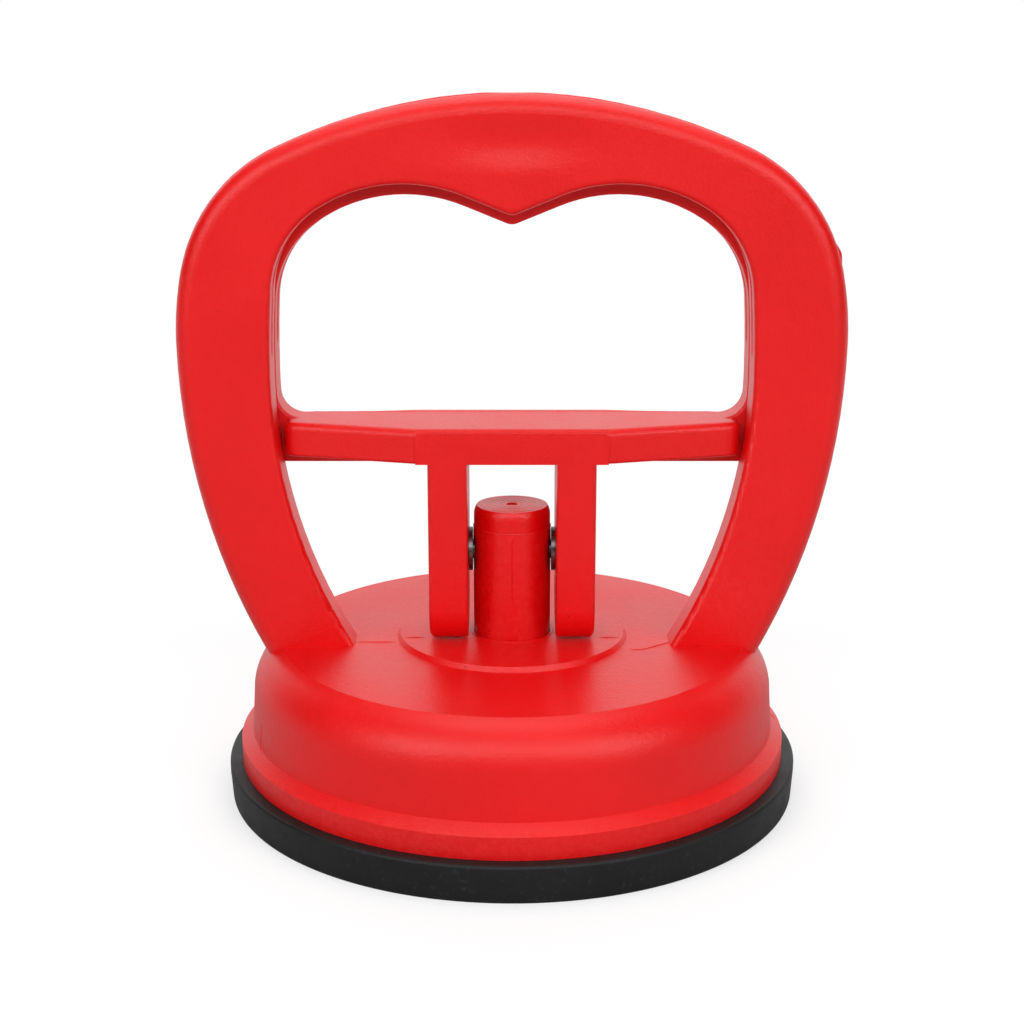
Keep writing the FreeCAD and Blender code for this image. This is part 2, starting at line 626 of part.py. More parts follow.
def draw_crossbar(sketch):
    """Right half of the crossbar from above: straight in the middle, tapering to its end."""
    half, flat, bend = WINDOW_HALF - size("bar_end_gap"), size("bar_flat"), size("bar_end_round")
    front = size("bar_front_inset") - size("leg_front")
    tip_front, tip_rear = front + size("bar_taper_front"), LEG_REAR - size("bar_taper_rear")
    run, rise = half.number - flat.number, size("bar_taper_front").number
    lean = math.atan2(rise, run)
    mid_x = half.number - bend.number
    mid_y = tip_front.number + bend.number / math.cos(lean) - bend.number * math.tan(lean)
    leave = (mid_x + bend.number * math.sin(lean), mid_y - bend.number * math.cos(lean))
    spots = [(0.0, LEG_REAR.number), (0.0, front.number), (flat.number, front.number)]
    ends = [(half.number, mid_y), (half.number, tip_rear.number), (flat.number, LEG_REAR.number)]
    spine = add_line(sketch, spots[0], spots[1])
    nose = add_line(sketch, spots[1], spots[2])
    slant = add_line(sketch, spots[2], leave)
    corner = add_arc(sketch, (mid_x, mid_y), bend, leave, ends[0])
    tip = add_line(sketch, ends[0], ends[1])
    back = add_line(sketch, ends[1], ends[2])
    rear = add_line(sketch, ends[2], spots[0])
    aim = add_line(sketch, leave, (half.number, tip_front.number))
    sketch.toggleConstruction(aim)
    join(sketch, (spine, 2, nose, 1, False), (nose, 2, slant, 1, False), (slant, 2, corner, 1, True),
         (corner, 2, tip, 1, True), (tip, 2, back, 1, False), (back, 2, rear, 1, False),
         (rear, 2, spine, 1, False), (slant, 2, aim, 1, True))
    place(sketch, spine, 1, ZERO, LEG_REAR)
    place(sketch, spine, 2, ZERO, front)
    place(sketch, nose, 2, flat, front)
    place(sketch, aim, 2, half, tip_front)
    place(sketch, back, 1, half, tip_rear)
    place(sketch, back, 2, flat, LEG_REAR)
    sketch.addConstraint(Sketcher.Constraint("Vertical", tip))


def draw_yoke(sketch):
    """Right half of the raised panel and one leg, seen from the front."""
    half, corner = size("panel_half"), size("panel_corner")
    lid = BAR_TOP - size("panel_drop")
    low = PIN_Z - size("cam_high") - size("leg_waste")
    spots = [(half, lid - corner), (half, BAR_BOTTOM), (LEG_OUTER, BAR_BOTTOM), (LEG_OUTER, low),
             (LEG_INNER, low), (LEG_INNER, BAR_BOTTOM), (ZERO, BAR_BOTTOM), (ZERO, lid),
             (half - corner, lid)]
    points = [(across.number, up.number) for across, up in spots]
    lines = [add_line(sketch, points[k], points[k + 1]) for k in range(len(points) - 1)]
    bend = add_arc(sketch, ((half - corner).number, (lid - corner).number), corner, points[0], points[-1])
    place(sketch, lines[0], 1, half)
    for line, spot in zip(lines[1:], spots[1:]):
        place(sketch, line, 1, *spot)
    for line, follower in zip(lines, lines[1:]):
        join(sketch, (line, 2, follower, 1, False))
    join(sketch, (lines[-1], 2, bend, 2, True), (bend, 1, lines[0], 1, True))
    sketch.addConstraint(Sketcher.Constraint("Horizontal", lines[-1]))


def draw_cam_cut(sketch):
    """Stock to take off below the legs, seen from the side with the front on the left.

    What stays is a rounded toe, a flat sole and a cam. The cam's distance from the pin falls
    evenly with the swing, so its outline is an involute: its radius falls evenly as well. It is
    drawn as tangent arcs, each over an equal part of the swing, and the last one fits the rear.
    """
    part = size("lever_swing") / CAM_ARCS
    step = math.radians(part.number)
    reach = size("cam_travel") / (size("lever_swing") * math.pi / 180)
    toe, front, waste = size("leg_toe_round"), size("leg_front"), size("leg_waste")
    foot = PIN_Z - size("cam_high")
    toe_mid = (toe.number - front.number, foot.number + toe.number)
    start = (-reach.number, foot.number)
    left, right, low = -front - waste, LEG_REAR + waste, foot - waste * 2
    entry = add_line(sketch, (left.number, toe_mid[1]), (-front.number, toe_mid[1]))
    ball = add_arc(sketch, toe_mid, toe, (-front.number, toe_mid[1]), (toe_mid[0], foot.number))
    sole = add_line(sketch, (toe_mid[0], foot.number), start)
    join(sketch, (entry, 2, ball, 1, False), (ball, 2, sole, 1, True))
    sketch.addConstraint(Sketcher.Constraint("Horizontal", entry))
    sketch.addConstraint(Sketcher.Constraint("Horizontal", sole))
    place(sketch, ball, 1, -front, foot + toe)
    place(sketch, sole, 2, -reach, foot)
    previous, spot = sole, start
    for k in range(CAM_ARCS):
        facing = k * step
        radius = size("cam_high") - size("cam_travel") * ((k + 0.5) / CAM_ARCS)
        last = k == CAM_ARCS - 1
        if last:
            radius = as_size((LEG_REAR.number - spot[0]) / (1 - math.sin(facing)))
        mid = (spot[0] - radius.number * math.sin(facing), spot[1] + radius.number * math.cos(facing))
        end = (mid[0] + radius.number * math.sin(facing + step),
               mid[1] - radius.number * math.cos(facing + step))
        arc = add_arc(sketch, mid, radius, spot, end, tied=not last)
        join(sketch, (previous, 2, arc, 1, True))
        tie(sketch, "Angle", (arc,), Size(step, part.text + " * 1 deg"))
        previous, spot = arc, end
    place(sketch, previous, 2, across=LEG_REAR)
    exit_line = add_line(sketch, spot, (right.number, spot[1]))
    frame = [(right.number, spot[1]), (right.number, low.number), (left.number, low.number),
             (left.number, toe_mid[1])]
    walls = [add_line(sketch, frame[k], frame[k + 1]) for k in range(3)]
    join(sketch, (previous, 2, exit_line, 1, False), (exit_line, 2, walls[0], 1, False),
         (walls[0], 2, walls[1], 1, False), (walls[1], 2, walls[2], 1, False),
         (walls[2], 2, entry, 1, False))
    sketch.addConstraint(Sketcher.Constraint("Horizontal", exit_line))
    sketch.addConstraint(Sketcher.Constraint("Vertical", walls[0]))
    sketch.addConstraint(Sketcher.Constraint("Vertical", walls[2]))
    place(sketch, walls[0], 2, right, low)
    place(sketch, walls[1], 2, left, low)


def make_lever():
    """Rear loop, crossbar, raised panel and the two cam legs: one moulding."""
    body = new_body("lever")
    loop = new_sketch(body, "lever_loop_outline", "XZ_Plane", -HALF_GAP)
    draw_lever_loop(loop)
    half = feature(body, "Pad", "lever_loop_half", loop, Length=size("loop_thick"), Reversed=True)
    mirror(body, "lever_loop", [half])
    grip_y = GRIP_FACE.number
    round_loop(body, grip_y, HALF_GAP.number, size("lever_arch_drop").number, False)

    shelf = new_sketch(body, "crossbar_outline", "XY_Plane", BAR_BOTTOM)
    draw_crossbar(shelf)
    bar = feature(body, "Pad", "crossbar_half", shelf, Length=size("bar_thick"))
    mirror(body, "crossbar", [bar])
    before_loop, behind_loop = HALF_GAP.number - FACE_SLACK, GRIP_FACE.number + FACE_SLACK
    bottom, top = BAR_BOTTOM.number, BAR_TOP.number

    def on_bar(edge, height, front):
        box = edge_box(edge)
        flat = abs(box.ZMin - height) < 1e-4 and abs(box.ZMax - height) < 1e-4
        return flat and (box.YMin < before_loop if front else box.YMax > behind_loop)

    round_edges(body, "bar_front_round", size("bar_front_edge"), lambda edge: on_bar(edge, top, True))
    round_edges(body, "bar_low_round", size("bar_low_edge"),
                lambda edge: on_bar(edge, bottom, True) or on_bar(edge, bottom, False))
    round_edges(body, "bar_rear_round", size("bar_low_edge"), lambda edge: on_bar(edge, top, False))

    front = new_sketch(body, "yoke_outline", "XZ_Plane", size("leg_front"))
    draw_yoke(front)
    leg = feature(body, "Pad", "yoke_half", front, Length=size("leg_front") + LEG_REAR, Reversed=True)
    mirror(body, "yoke", [leg])
    side = new_sketch(body, "cam_cut_outline", "YZ_Plane")
    draw_cam_cut(side)
    span = (LEG_OUTER + size("leg_waste")) * 2
    feature(body, "Pocket", "cam_cut", side, Length=span, SideType="Symmetric")
    outer, inner = LEG_OUTER.number, LEG_INNER.number
    low = RING_BOTTOM.number - FACE_SLACK

    def on_leg_side(edge, place_x):
        box = edge_box(edge)
        flat = box.XMax - box.XMin < 1e-4 and abs(abs(box.XMin) - place_x) < 1e-4
        return flat and box.ZMin < low

    round_edges(body, "leg_outer_round", size("leg_outer_edge"), lambda edge: on_leg_side(edge, outer))
    round_edges(body, "leg_inner_round", size("leg_inner_edge"), lambda edge: on_leg_side(edge, inner))
    hole = new_sketch(body, "pin_hole_outline", "YZ_Plane")
    add_circle(hole, ZERO, PIN_Z, size("pin_radius"))
    feature(body, "Pocket", "pin_hole", hole, Length=span, SideType="Symmetric")
    return body


# ---------------------------------------------------------------- post, pin and washers

def make_post():
    """Centre post: blind thread below, cross bore for the pin, rounded head with a dimple."""
    body = new_body("lift_post")
    sketch = new_sketch(body, "post_section", "XZ_Plane")
    radius, head = size("post_radius"), size("post_radius") - size("post_step")
    top, seam = PIN_Z + size("post_above"), PIN_Z + size("post_cap")
    bore_top = STUD_TOP + size("thread_spare")
    dimple, dimple_z = size("post_dimple"), top - size("post_dimple_deep")
    face, bend = size("post_face"), size("post_round")
    mid_x = head.number - bend.number
    bend_low = top.number - math.sqrt(bend.number ** 2 - (face.number - mid_x) ** 2)
    corners = [(face, top), (dimple, top), (dimple, dimple_z), (ZERO, dimple_z), (ZERO, bore_top),
               (size("stud_radius"), bore_top), (size("stud_radius"), POST_BOTTOM), (radius, POST_BOTTOM),
               (radius, seam), (head, seam)]
    spots = [(across.number, up.number) for across, up in corners]
    lines = [add_line(sketch, spots[k], spots[k + 1]) for k in range(len(spots) - 1)]
    rise = add_line(sketch, spots[-1], (head.number, bend_low))
    arc = add_arc(sketch, (mid_x, bend_low), bend, (head.number, bend_low), spots[0])
    for line, corner in zip(lines, corners):
        place(sketch, line, 1, *corner)
    place(sketch, rise, 1, head, seam)
    chain = lines + [rise]
    for line, follower in zip(chain, chain[1:]):
        join(sketch, (line, 2, follower, 1, False))
    join(sketch, (rise, 2, arc, 1, True), (arc, 2, lines[0], 1, False))
    sketch.addConstraint(Sketcher.Constraint("Vertical", rise))
    revolve(body, "post_turned", sketch)
    cross = new_sketch(body, "pin_bore_outline", "YZ_Plane")
    add_circle(cross, ZERO, PIN_Z, size("pin_radius") + size("pin_slip"))
    feature(body, "Pocket", "pin_bore", cross, Length=(radius + size("leg_waste")) * 2,
            SideType="Symmetric")
    return body


def make_pin():
    """Hinge pin, pressed into both legs and turning in the post."""
    body = new_body("hinge_pin")
    sketch = new_sketch(body, "pin_outline", "YZ_Plane")
    add_circle(sketch, ZERO, PIN_Z, size("pin_radius"))
    feature(body, "Pad", "pin_bar", sketch, Length=(LEG_OUTER - size("pin_inset")) * 2, SideType="Symmetric")
    rod = body.Tip
    feature(body, "Chamfer", "pin_ends", Base=(rod, ["Edge1", "Edge3"]), Size=size("pin_chamfer"))
    return body


def make_washer(label, side):
    """Plain washer between the post and one leg; side is 1 on the right and -1 on the left."""
    body = new_body(label)
    start = size("post_radius") + (size("leg_gap") - size("washer_thick")) / 2
    sketch = new_sketch(body, f"{label}_outline", "YZ_Plane", start * side)
    add_circle(sketch, ZERO, PIN_Z, size("washer_radius"))
    add_circle(sketch, ZERO, PIN_Z, size("pin_radius") + size("washer_slip"))
    feature(body, "Pad", f"{label}_disc", sketch, Length=size("washer_thick"), Reversed=side < 0)
    return body


# ---------------------------------------------------------------- cup, insert plate and stud

def make_cup():
    """Rubber cup with a flat lip, a raised middle, a centring bead and a pocket for the insert."""
    body = new_body("suction_cup")
    sketch = new_sketch(body, "cup_section", "XZ_Plane")
    radius, rim, gap = size("cup_radius"), size("cup_rim"), size("insert_gap")
    floor_radius = radius - size("cup_taper")
    bead_outer = SKIRT_INNER - gap
    bead_inner = bead_outer - size("cup_bead")
    bead_top = rim + size("cup_bead_rise")
    lip = floor_radius - size("cup_lip")
    hub, lift = size("cup_hub"), size("cup_lift")
    stud_hole = size("stud_radius") + gap
    pocket = size("insert_radius") + gap
    skin = lift + size("cup_skin")
    trim = size("cup_rim_round")
    add_polygon(sketch, [
        (floor_radius, ZERO), (radius, rim - trim), (radius - trim, rim), (bead_outer, rim),
        (bead_outer, bead_top), (bead_inner, bead_top), (hub, skin), (hub - size("cup_hub_slope"), HUB_TOP),
        (stud_hole, HUB_TOP), (stud_hole, INSERT_TOP), (pocket, INSERT_TOP), (pocket, INSERT_BOTTOM),
        (ZERO, INSERT_BOTTOM), (ZERO, lift), (hub, lift), (lip, ZERO)])
    revolve(body, "cup_turned", sketch)
    return body


def make_insert():
    """Steel plate moulded into the cup's middle, with holes through which the rubber bonds."""
    body = new_body("insert_plate")
    sketch = new_sketch(body, "insert_outline", "XY_Plane", INSERT_BOTTOM)
    add_circle(sketch, ZERO, ZERO, size("insert_radius"))
    feature(body, "Pad", "insert_disc", sketch, Length=size("insert_thick"))
    hole = new_sketch(body, "bond_hole_outline", "XY_Plane", INSERT_BOTTOM)
    add_circle(hole, size("insert_hole_ring"), ZERO, size("insert_hole"))
    cut = feature(body, "Pocket", "bond_hole", hole, Length=size("insert_thick") * 2, SideType="Symmetric")
    axis = (origin_feature(body, "Z_Axis"), [""])
    ring = feature(body, "PolarPattern", "bond_holes", Originals=[cut], Axis=axis, Angle=360.0,
                   Occurrences=size("insert_hole_count"))
    body.Tip = ring
    return body


def make_stud():
    """Stud welded on the insert plate and screwed into the post."""
    body = new_body("cup_stud")
    sketch = new_sketch(body, "stud_section", "XZ_Plane")
    radius, tip = size("stud_radius"), size("stud_tip")
    add_polygon(sketch, [(ZERO, INSERT_TOP), (radius, INSERT_TOP), (radius, STUD_TOP - tip),
                         (radius - tip, STUD_TOP), (ZERO, STUD_TOP)])
    revolve(body, "stud_turned", sketch)
    return body


bodies = [
    make_housing(),
    make_lever(),
    make_post(),
    make_pin(),
    make_washer("thrust_washer_right", 1),
    make_washer("thrust_washer_left", -1),
    make_cup(),
    make_insert(),
    make_stud(),
]
doc.recompute()

for item in doc.Objects:
    if "Invalid" in item.State or "Error" in item.State:
        raise RuntimeError(f"{item.Label} failed: {item.State}")
for body in bodies:
    if body.Shape.isNull() or not body.Shape.isValid() or len(body.Shape.Solids) != 1:
        raise RuntimeError(f"{body.Label} is not one valid solid")

for body in bodies:
    body.Shape.exportStep(f"parts/{body.Label}.step")
    box = body.Shape.BoundBox
    print(f"{body.Label:22s} volume {body.Shape.Volume:9.1f}  x {box.XMin:7.2f} {box.XMax:7.2f}"
          f"  y {box.YMin:7.2f} {box.YMax:7.2f}  z {box.ZMin:7.2f} {box.ZMax:7.2f}")
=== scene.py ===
"""Looks of the suction lifter: finishes for its moulded and steel pieces, the rubber cup, moulding
marks and a plain studio. Laid out as an add-on, with one operator for each group of pieces."""
import math

import bmesh
import bpy
from bpy.props import FloatProperty, FloatVectorProperty, IntProperty, PointerProperty
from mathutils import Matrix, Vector, noise
from mathutils.bvhtree import BVHTree


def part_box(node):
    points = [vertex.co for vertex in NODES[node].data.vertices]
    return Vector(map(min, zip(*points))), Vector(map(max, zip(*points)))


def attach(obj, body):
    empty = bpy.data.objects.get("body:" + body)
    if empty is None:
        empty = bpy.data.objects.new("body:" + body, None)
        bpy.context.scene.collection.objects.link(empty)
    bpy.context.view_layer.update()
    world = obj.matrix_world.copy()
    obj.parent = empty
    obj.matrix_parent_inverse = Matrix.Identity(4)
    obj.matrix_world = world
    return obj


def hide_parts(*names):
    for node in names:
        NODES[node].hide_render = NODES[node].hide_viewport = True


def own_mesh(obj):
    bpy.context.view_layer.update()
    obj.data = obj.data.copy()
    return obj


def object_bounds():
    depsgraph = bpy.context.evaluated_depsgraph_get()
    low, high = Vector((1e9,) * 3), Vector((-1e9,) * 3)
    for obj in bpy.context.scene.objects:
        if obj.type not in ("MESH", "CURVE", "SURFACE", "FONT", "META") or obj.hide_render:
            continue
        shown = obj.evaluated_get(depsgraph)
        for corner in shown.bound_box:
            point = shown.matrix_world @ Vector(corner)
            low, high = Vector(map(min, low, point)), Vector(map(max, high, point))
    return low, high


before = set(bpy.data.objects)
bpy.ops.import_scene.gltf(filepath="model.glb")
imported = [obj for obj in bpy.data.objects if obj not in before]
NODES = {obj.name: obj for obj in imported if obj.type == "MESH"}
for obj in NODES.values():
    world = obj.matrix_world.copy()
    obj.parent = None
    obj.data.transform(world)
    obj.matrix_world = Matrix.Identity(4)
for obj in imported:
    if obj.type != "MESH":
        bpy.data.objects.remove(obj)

bl_info = {
    "name": "Suction lifter",
    "version": (1, 0, 0),
    "blender": (4, 5, 0),
    "location": "3D View > Sidebar > Lifter",
    "description": "Finishes, rubber cup, moulding marks and studio of a tile suction lifter",
    "category": "Object",
}

CAD_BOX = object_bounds()
MM = 0.001

# Angle in degrees between faces over which an edge is left sharp, steps in a rounded corner, which takes
# no more than a share of the straight lines beside it, and metres under which two points are one.
SMOOTH_ANGLE = 35.0
ARC_STEPS = 6
ARC_SHARE = 0.45
SAME_PLACE = 1e-7

# A moulding line's section, as shares of its width and height, how closely its height wanders, and how
# much of a step its ends keep where they fade.
RIDGE_SECTION = ((-0.5, -0.5), (-0.25, 0.65), (0.0, 1.0), (0.25, 0.65), (0.5, -0.5))
RIDGE_WANDER = 420.0
RIDGE_END = 0.2

# Directions in which rays look for the surface under a moulding line.
DOWN = Vector((0.0, 0.0, -1.0))
TO_THE_REAR = Vector((0.0, 1.0, 0.0))
TO_THE_LEFT = Vector((-1.0, 0.0, 0.0))

# Where those rays start, in millimetres: above the dome, the flange, the crossbar and the post, before
# the front, and outside the loops and the post.
ABOVE_DOME = 34.2
ABOVE_FLANGE = 20.0
ABOVE_CROSSBAR = 79.0
ABOVE_POST = 62.0
BEFORE_FRONT = -30.0
OUTSIDE_LOOPS = 120.0
OUTSIDE_POST = 20.0

# Marks on the housing, in millimetres. Lines in plan run through points (across, forward or back), and a
# nick also has its width and height.
DOME_LINES = (
    ((-22.3, -5.5), (-17.6, -5.5)),
    ((17.6, -5.5), (22.3, -5.5)),
    ((-32.4, -5.4), (-23.6, -5.4)),
    ((23.6, -9.4), (24.4, -10.0), (25.4, -10.2), (26.3, -10.0), (27.1, -9.6),
     (28.3, -8.7), (29.5, -7.8), (31.0, -6.6), (32.4, -5.6)),
)
GUIDE_RING = 8.6
FLANGE_NICKS = (
    (((53.9, 1.4), (55.6, -0.8)), 0.25, 0.10),
    (((-52.6, -20.2), (-51.6, -20.7)), 0.22, 0.08),
    (((-50.6, -20.4), (-49.9, -19.6)), 0.22, 0.08),
    (((-51.9, -14.2), (-51.1, -13.4)), 0.22, 0.08),
)
GATE_ENDS = (108.2, 112.8)

# Seams of the two loops, in millimetres: the height of the loops' middle, and how far each seam lies
# from the middle plane. Each seam starts and stops at an angle in degrees, and the last word says
# whether it runs round the window and not round the outside.
LOOP_MIDDLE = 95.0
SEAM_OFFSET = 4.3
SEAM_STEP = 0.5
HOUSING_SEAMS = ((-15.0, 195.0, False), (-6.0, 186.0, True))
LEVER_SEAMS = ((-8.0, 188.0, False), (-4.0, 184.0, True))

# Marks on the lever, in millimetres. A panel nick starts at a place across and a height, and runs on.
CROSSBAR_LINE = ((-42.0, 7.4), (42.0, 7.4))
CROSSBAR_NICKS = (
    ((-33.0, -4.0), (-32.2, -3.7)),
    ((14.0, -6.5), (14.5, -5.6)),
    ((27.5, 1.0), (28.6, 1.2)),
    ((-8.0, -7.5), (-7.2, -7.8)),
)
PANEL_NICKS = ((-12.5, 63.0, 0.9), (6.0, 71.5, 1.2), (15.5, 66.0, 0.7))

# Marks on the post, in millimetres. A seam has its two heights, and a bit of flash its place across, its
# height and its size; the last word says whether it enters the guide.
POST_SEAMS = ((33.0, 41.0, True), (40.8, 54.7, False), (55.4, 58.2, False))
POST_FLASH = ((0.35, 54.1, 0.9, False), (0.15, 37.3, 0.7, True), (-0.4, 53.3, 0.5, False))
FLASH_HEIGHT = 0.22
POST_BAND = 54.85
POST_RINGS = (2.2, 3.6, 5.0, 6.3)
RING_STEPS = 120

# Lamps in metres and watts: name, place, width, height and power.
LAMPS = (
    ("overhead", (0.0, 0.15, 0.95), 0.8, 0.8, 4.4),
    ("front", (0.0, -0.85, 0.62), 1.6, 0.42, 6.6),
    ("left", (-0.80, -0.70, 0.50), 0.5, 0.5, 3.0),
    ("right", (0.80, -0.70, 0.50), 0.5, 0.5, 3.0),
)
LAMP_TARGET = Vector((0.0, 0.0, 0.06))

# Where the studio's backdrop and ceiling begin and are at their full light, as parts of a direction.
BACKDROP_EDGE = (0.40, 0.80)
CEILING_EDGE = (0.45, 0.95)


# ---------------------------------------------------------------- sizes and colours to change

class LifterPlasticSettings(bpy.types.PropertyGroup):
    """The red moulded plastic of housing, lever and post."""
    colour: FloatVectorProperty(
        name="Colour", description="Colour of the moulded plastic", subtype="COLOR",
        size=3, min=0.0, max=1.0, default=(0.77, 0.002, 0.003))
    roughness: FloatProperty(
        name="Roughness", description="Middle roughness of the moulded surface", subtype="FACTOR",
        min=0.0, max=1.0, default=0.38)
    refraction: FloatProperty(
        name="Refraction", description="Refractive index of the plastic", min=1.0, default=1.44)
    # How far outer edges turn pale: partly wear, partly a painted sheen along the edges.
    edge_wear_and_sheen: FloatProperty(
        name="Edge wear", description="How far rubbed edges turn pale", subtype="FACTOR",
        min=0.0, max=1.0, default=0.35)
    grain_size: FloatProperty(
        name="Grain size", description="Spacing of the fine moulded grain", unit="LENGTH",
        min=0.0001, max=0.005, default=0.00045)
    grain_depth: FloatProperty(
        name="Grain depth", description="Depth of the fine moulded grain", unit="LENGTH",
        min=0.0, max=0.0005, default=0.00008)


class LifterHollowSettings(bpy.types.PropertyGroup):
    """The shallow thumb hollow in the front of the fixed loop's crown."""
    depth: FloatProperty(
        name="Depth", description="How deep the hollow is", unit="LENGTH", min=0.0, default=0.0009)
    middle: FloatProperty(
        name="Middle", description="Height of the hollow's deepest line", unit="LENGTH", default=0.1318)
    half_height: FloatProperty(
        name="Half height", description="How far the hollow runs up and down", unit="LENGTH",
        default=0.0062)
    half_width: FloatProperty(
        name="Half width", description="How far the hollow runs to each side", unit="LENGTH",
        default=0.020)
    mesh_step: FloatProperty(
        name="Mesh step", description="Spacing of the mesh lines in the hollow", unit="LENGTH",
        min=0.0002, default=0.0008)


class LifterRubberSettings(bpy.types.PropertyGroup):
    """The rubber cup."""
    colour: FloatVectorProperty(
        name="Colour", description="Colour of the rubber", subtype="COLOR",
        size=3, min=0.0, max=1.0, default=(0.0065, 0.0067, 0.0072))
    roughness: FloatProperty(
        name="Roughness", description="Middle roughness of the rubber", subtype="FACTOR",
        min=0.0, max=1.0, default=0.48)
    refraction: FloatProperty(
        name="Refraction", description="Refractive index of the rubber", min=1.0, default=1.35)
    rim_height: FloatProperty(
        name="Rim height", description="Height of the cup's rim", unit="LENGTH", default=0.0074)
    edge_round: FloatProperty(
        name="Edge rounding", description="Rounding of the rim's upper edge", unit="LENGTH",
        default=0.0006)
    lip_width: FloatProperty(
        name="Lip width", description="Width of the flat sealing lip", unit="LENGTH", default=0.012)
    lift: FloatProperty(
        name="Cavity height", description="Height of the cavity under the raised middle",
        unit="LENGTH", default=0.0076)
    skin: FloatProperty(
        name="Skin", description="Thickness of the membrane", unit="LENGTH", default=0.005)
    hub_radius: FloatProperty(
        name="Hub radius", description="Radius of the thick middle", unit="LENGTH", default=0.017)
    bead_inner: FloatProperty(
        name="Bead, inner", description="Inner radius of the bead that centres the housing",
        unit="LENGTH", default=0.04755)
    bead_outer: FloatProperty(
        name="Bead, outer", description="Outer radius of the bead that centres the housing",
        unit="LENGTH", default=0.05015)
    bead_rise: FloatProperty(
        name="Bead rise", description="How far the bead stands over the rim", unit="LENGTH",
        default=0.0018)
    stud_hole: FloatProperty(
        name="Stud hole", description="Radius of the hole for the stud", unit="LENGTH", default=0.0043)
    stud_floor: FloatProperty(
        name="Stud floor", description="Height of the floor of the stud's hole", unit="LENGTH",
        default=0.0126)
    steps: IntProperty(
        name="Steps", description="Steps round the cup", min=48, max=512, default=240)


class LifterSteelSettings(bpy.types.PropertyGroup):
    """The steel pin, washers, stud and plate."""
    colour: FloatVectorProperty(
        name="Colour", description="Colour of the bright steel", subtype="COLOR",
        size=3, min=0.0, max=1.0, default=(0.56, 0.56, 0.57))
    roughness: FloatProperty(
        name="Roughness", description="Middle roughness of the steel", subtype="FACTOR",
        min=0.0, max=1.0, default=0.32)
    # The pin and washers are darker than the bright steel: partly oxide, partly painted shade of the narrow
    # gap between the legs and the post.
    gap_shaded: FloatProperty(
        name="Oiled", description="How bright the oiled pin and washers are beside the bright steel",
        subtype="FACTOR", min=0.0, max=1.0, default=0.35)


class LifterMarkSettings(bpy.types.PropertyGroup):
    """Parting lines, flash and nicks left by moulding and use."""
    line_width: FloatProperty(
        name="Line width", description="Width of a parting line", unit="LENGTH", default=0.00032)
    line_height: FloatProperty(
        name="Line height", description="How far a parting line stands proud", unit="LENGTH",
        min=0.0, default=0.00012)
    sliding_height: FloatProperty(
        name="Sliding height", description="How far marks stand proud where the post enters its guide",
        unit="LENGTH", min=0.0, default=0.00004)
    spacing: FloatProperty(
        name="Spacing", description="Distance between the points of a line", unit="LENGTH",
        min=0.0001, default=0.0005)


class LifterStageSettings(bpy.types.PropertyGroup):
    """Camera, lamps and floor."""
    camera_place: FloatVectorProperty(
        name="Camera place", description="Where the camera stands", subtype="XYZ", unit="LENGTH",
        size=3, default=(0.0, -0.3344, 0.1454))
    camera_tilt: FloatProperty(
        name="Camera tilt", description="How far the camera looks down", subtype="ANGLE",
        default=0.25702)
    lens: FloatProperty(name="Lens", description="Focal length in millimetres", default=59.39)
    floor_colour: FloatVectorProperty(
        name="Floor", description="Colour of floor and backdrop", subtype="COLOR",
        size=3, min=0.0, max=1.0, default=(0.48, 0.48, 0.48))
    floor_fill: FloatProperty(
        name="Floor fill", description="Light added to the floor near the cup, as the camera sees it",
        min=0.0, default=0.52)
    shadow_reach: FloatProperty(
        name="Shadow reach", description="How far round the cup the floor still shows its shadow",
        unit="LENGTH", default=0.085)
    room_light: FloatProperty(
        name="Room", description="Light from the dim sides and front of the studio", min=0.0,
        default=0.03)
    backdrop_light: FloatProperty(
        name="Backdrop", description="Light from the white backdrop behind", min=0.0, default=1.2)
    ceiling_light: FloatProperty(
        name="Ceiling", description="Light from the pale ceiling", min=0.0, default=0.35)


# ---------------------------------------------------------------- shader node helpers

def node_group(name, inputs, outputs):
    """A new shader node group with the named inputs and outputs, and its two end nodes."""
    group = bpy.data.node_groups.new(name, "ShaderNodeTree")
    for label, kind, default in inputs:
        socket = group.interface.new_socket(label, in_out="INPUT", socket_type=kind)
        socket.default_value = default
    for label, kind in outputs:
        group.interface.new_socket(label, in_out="OUTPUT", socket_type=kind)
    return group, group.nodes.new("NodeGroupInput"), group.nodes.new("NodeGroupOutput")


def add(tree, kind, **settings):
    """A new node with the given properties."""
    node = tree.nodes.new(kind)
    for key, value in settings.items():
        setattr(node, key, value)
    return node


def feed(tree, socket, value):
    """Set an input socket to a number, or link an output socket to it."""
    if isinstance(value, (int, float)):
        socket.default_value = value
    else:
        tree.links.new(value, socket)


def math_node(tree, operation, *values):
    """A Math node whose inputs are numbers or output sockets; gives back its output."""
    node = add(tree, "ShaderNodeMath", operation=operation)
    for socket, value in zip(node.inputs, values):
        feed(tree, socket, value)
    return node.outputs[0]


def noise_node(tree, place, scale, detail=2.0, rough=0.5):
    """A noise pattern over place, from 0 to 1 with its middle at a half."""
    node = add(tree, "ShaderNodeTexNoise")
    tree.links.new(place, node.inputs["Vector"])
    feed(tree, node.inputs["Scale"], scale)
    node.inputs["Detail"].default_value = detail
    node.inputs["Roughness"].default_value = rough
    return node.outputs["Fac"]


def swing(tree, pattern, amount):
    """How far a pattern stands from its middle, times an amount."""
    return math_node(tree, "MULTIPLY", math_node(tree, "SUBTRACT", pattern, 0.5), amount)


def spread(tree, value, low, high, to_low=0.0, to_high=1.0):
    """Map a value smoothly from one range to another, clamped."""
    node = add(tree, "ShaderNodeMapRange", interpolation_type="SMOOTHSTEP")
    tree.links.new(value, node.inputs["Value"])
    for label, number in zip(("From Min", "From Max", "To Min", "To Max"), (low, high, to_low, to_high)):
        node.inputs[label].default_value = number
    return node.outputs["Result"]


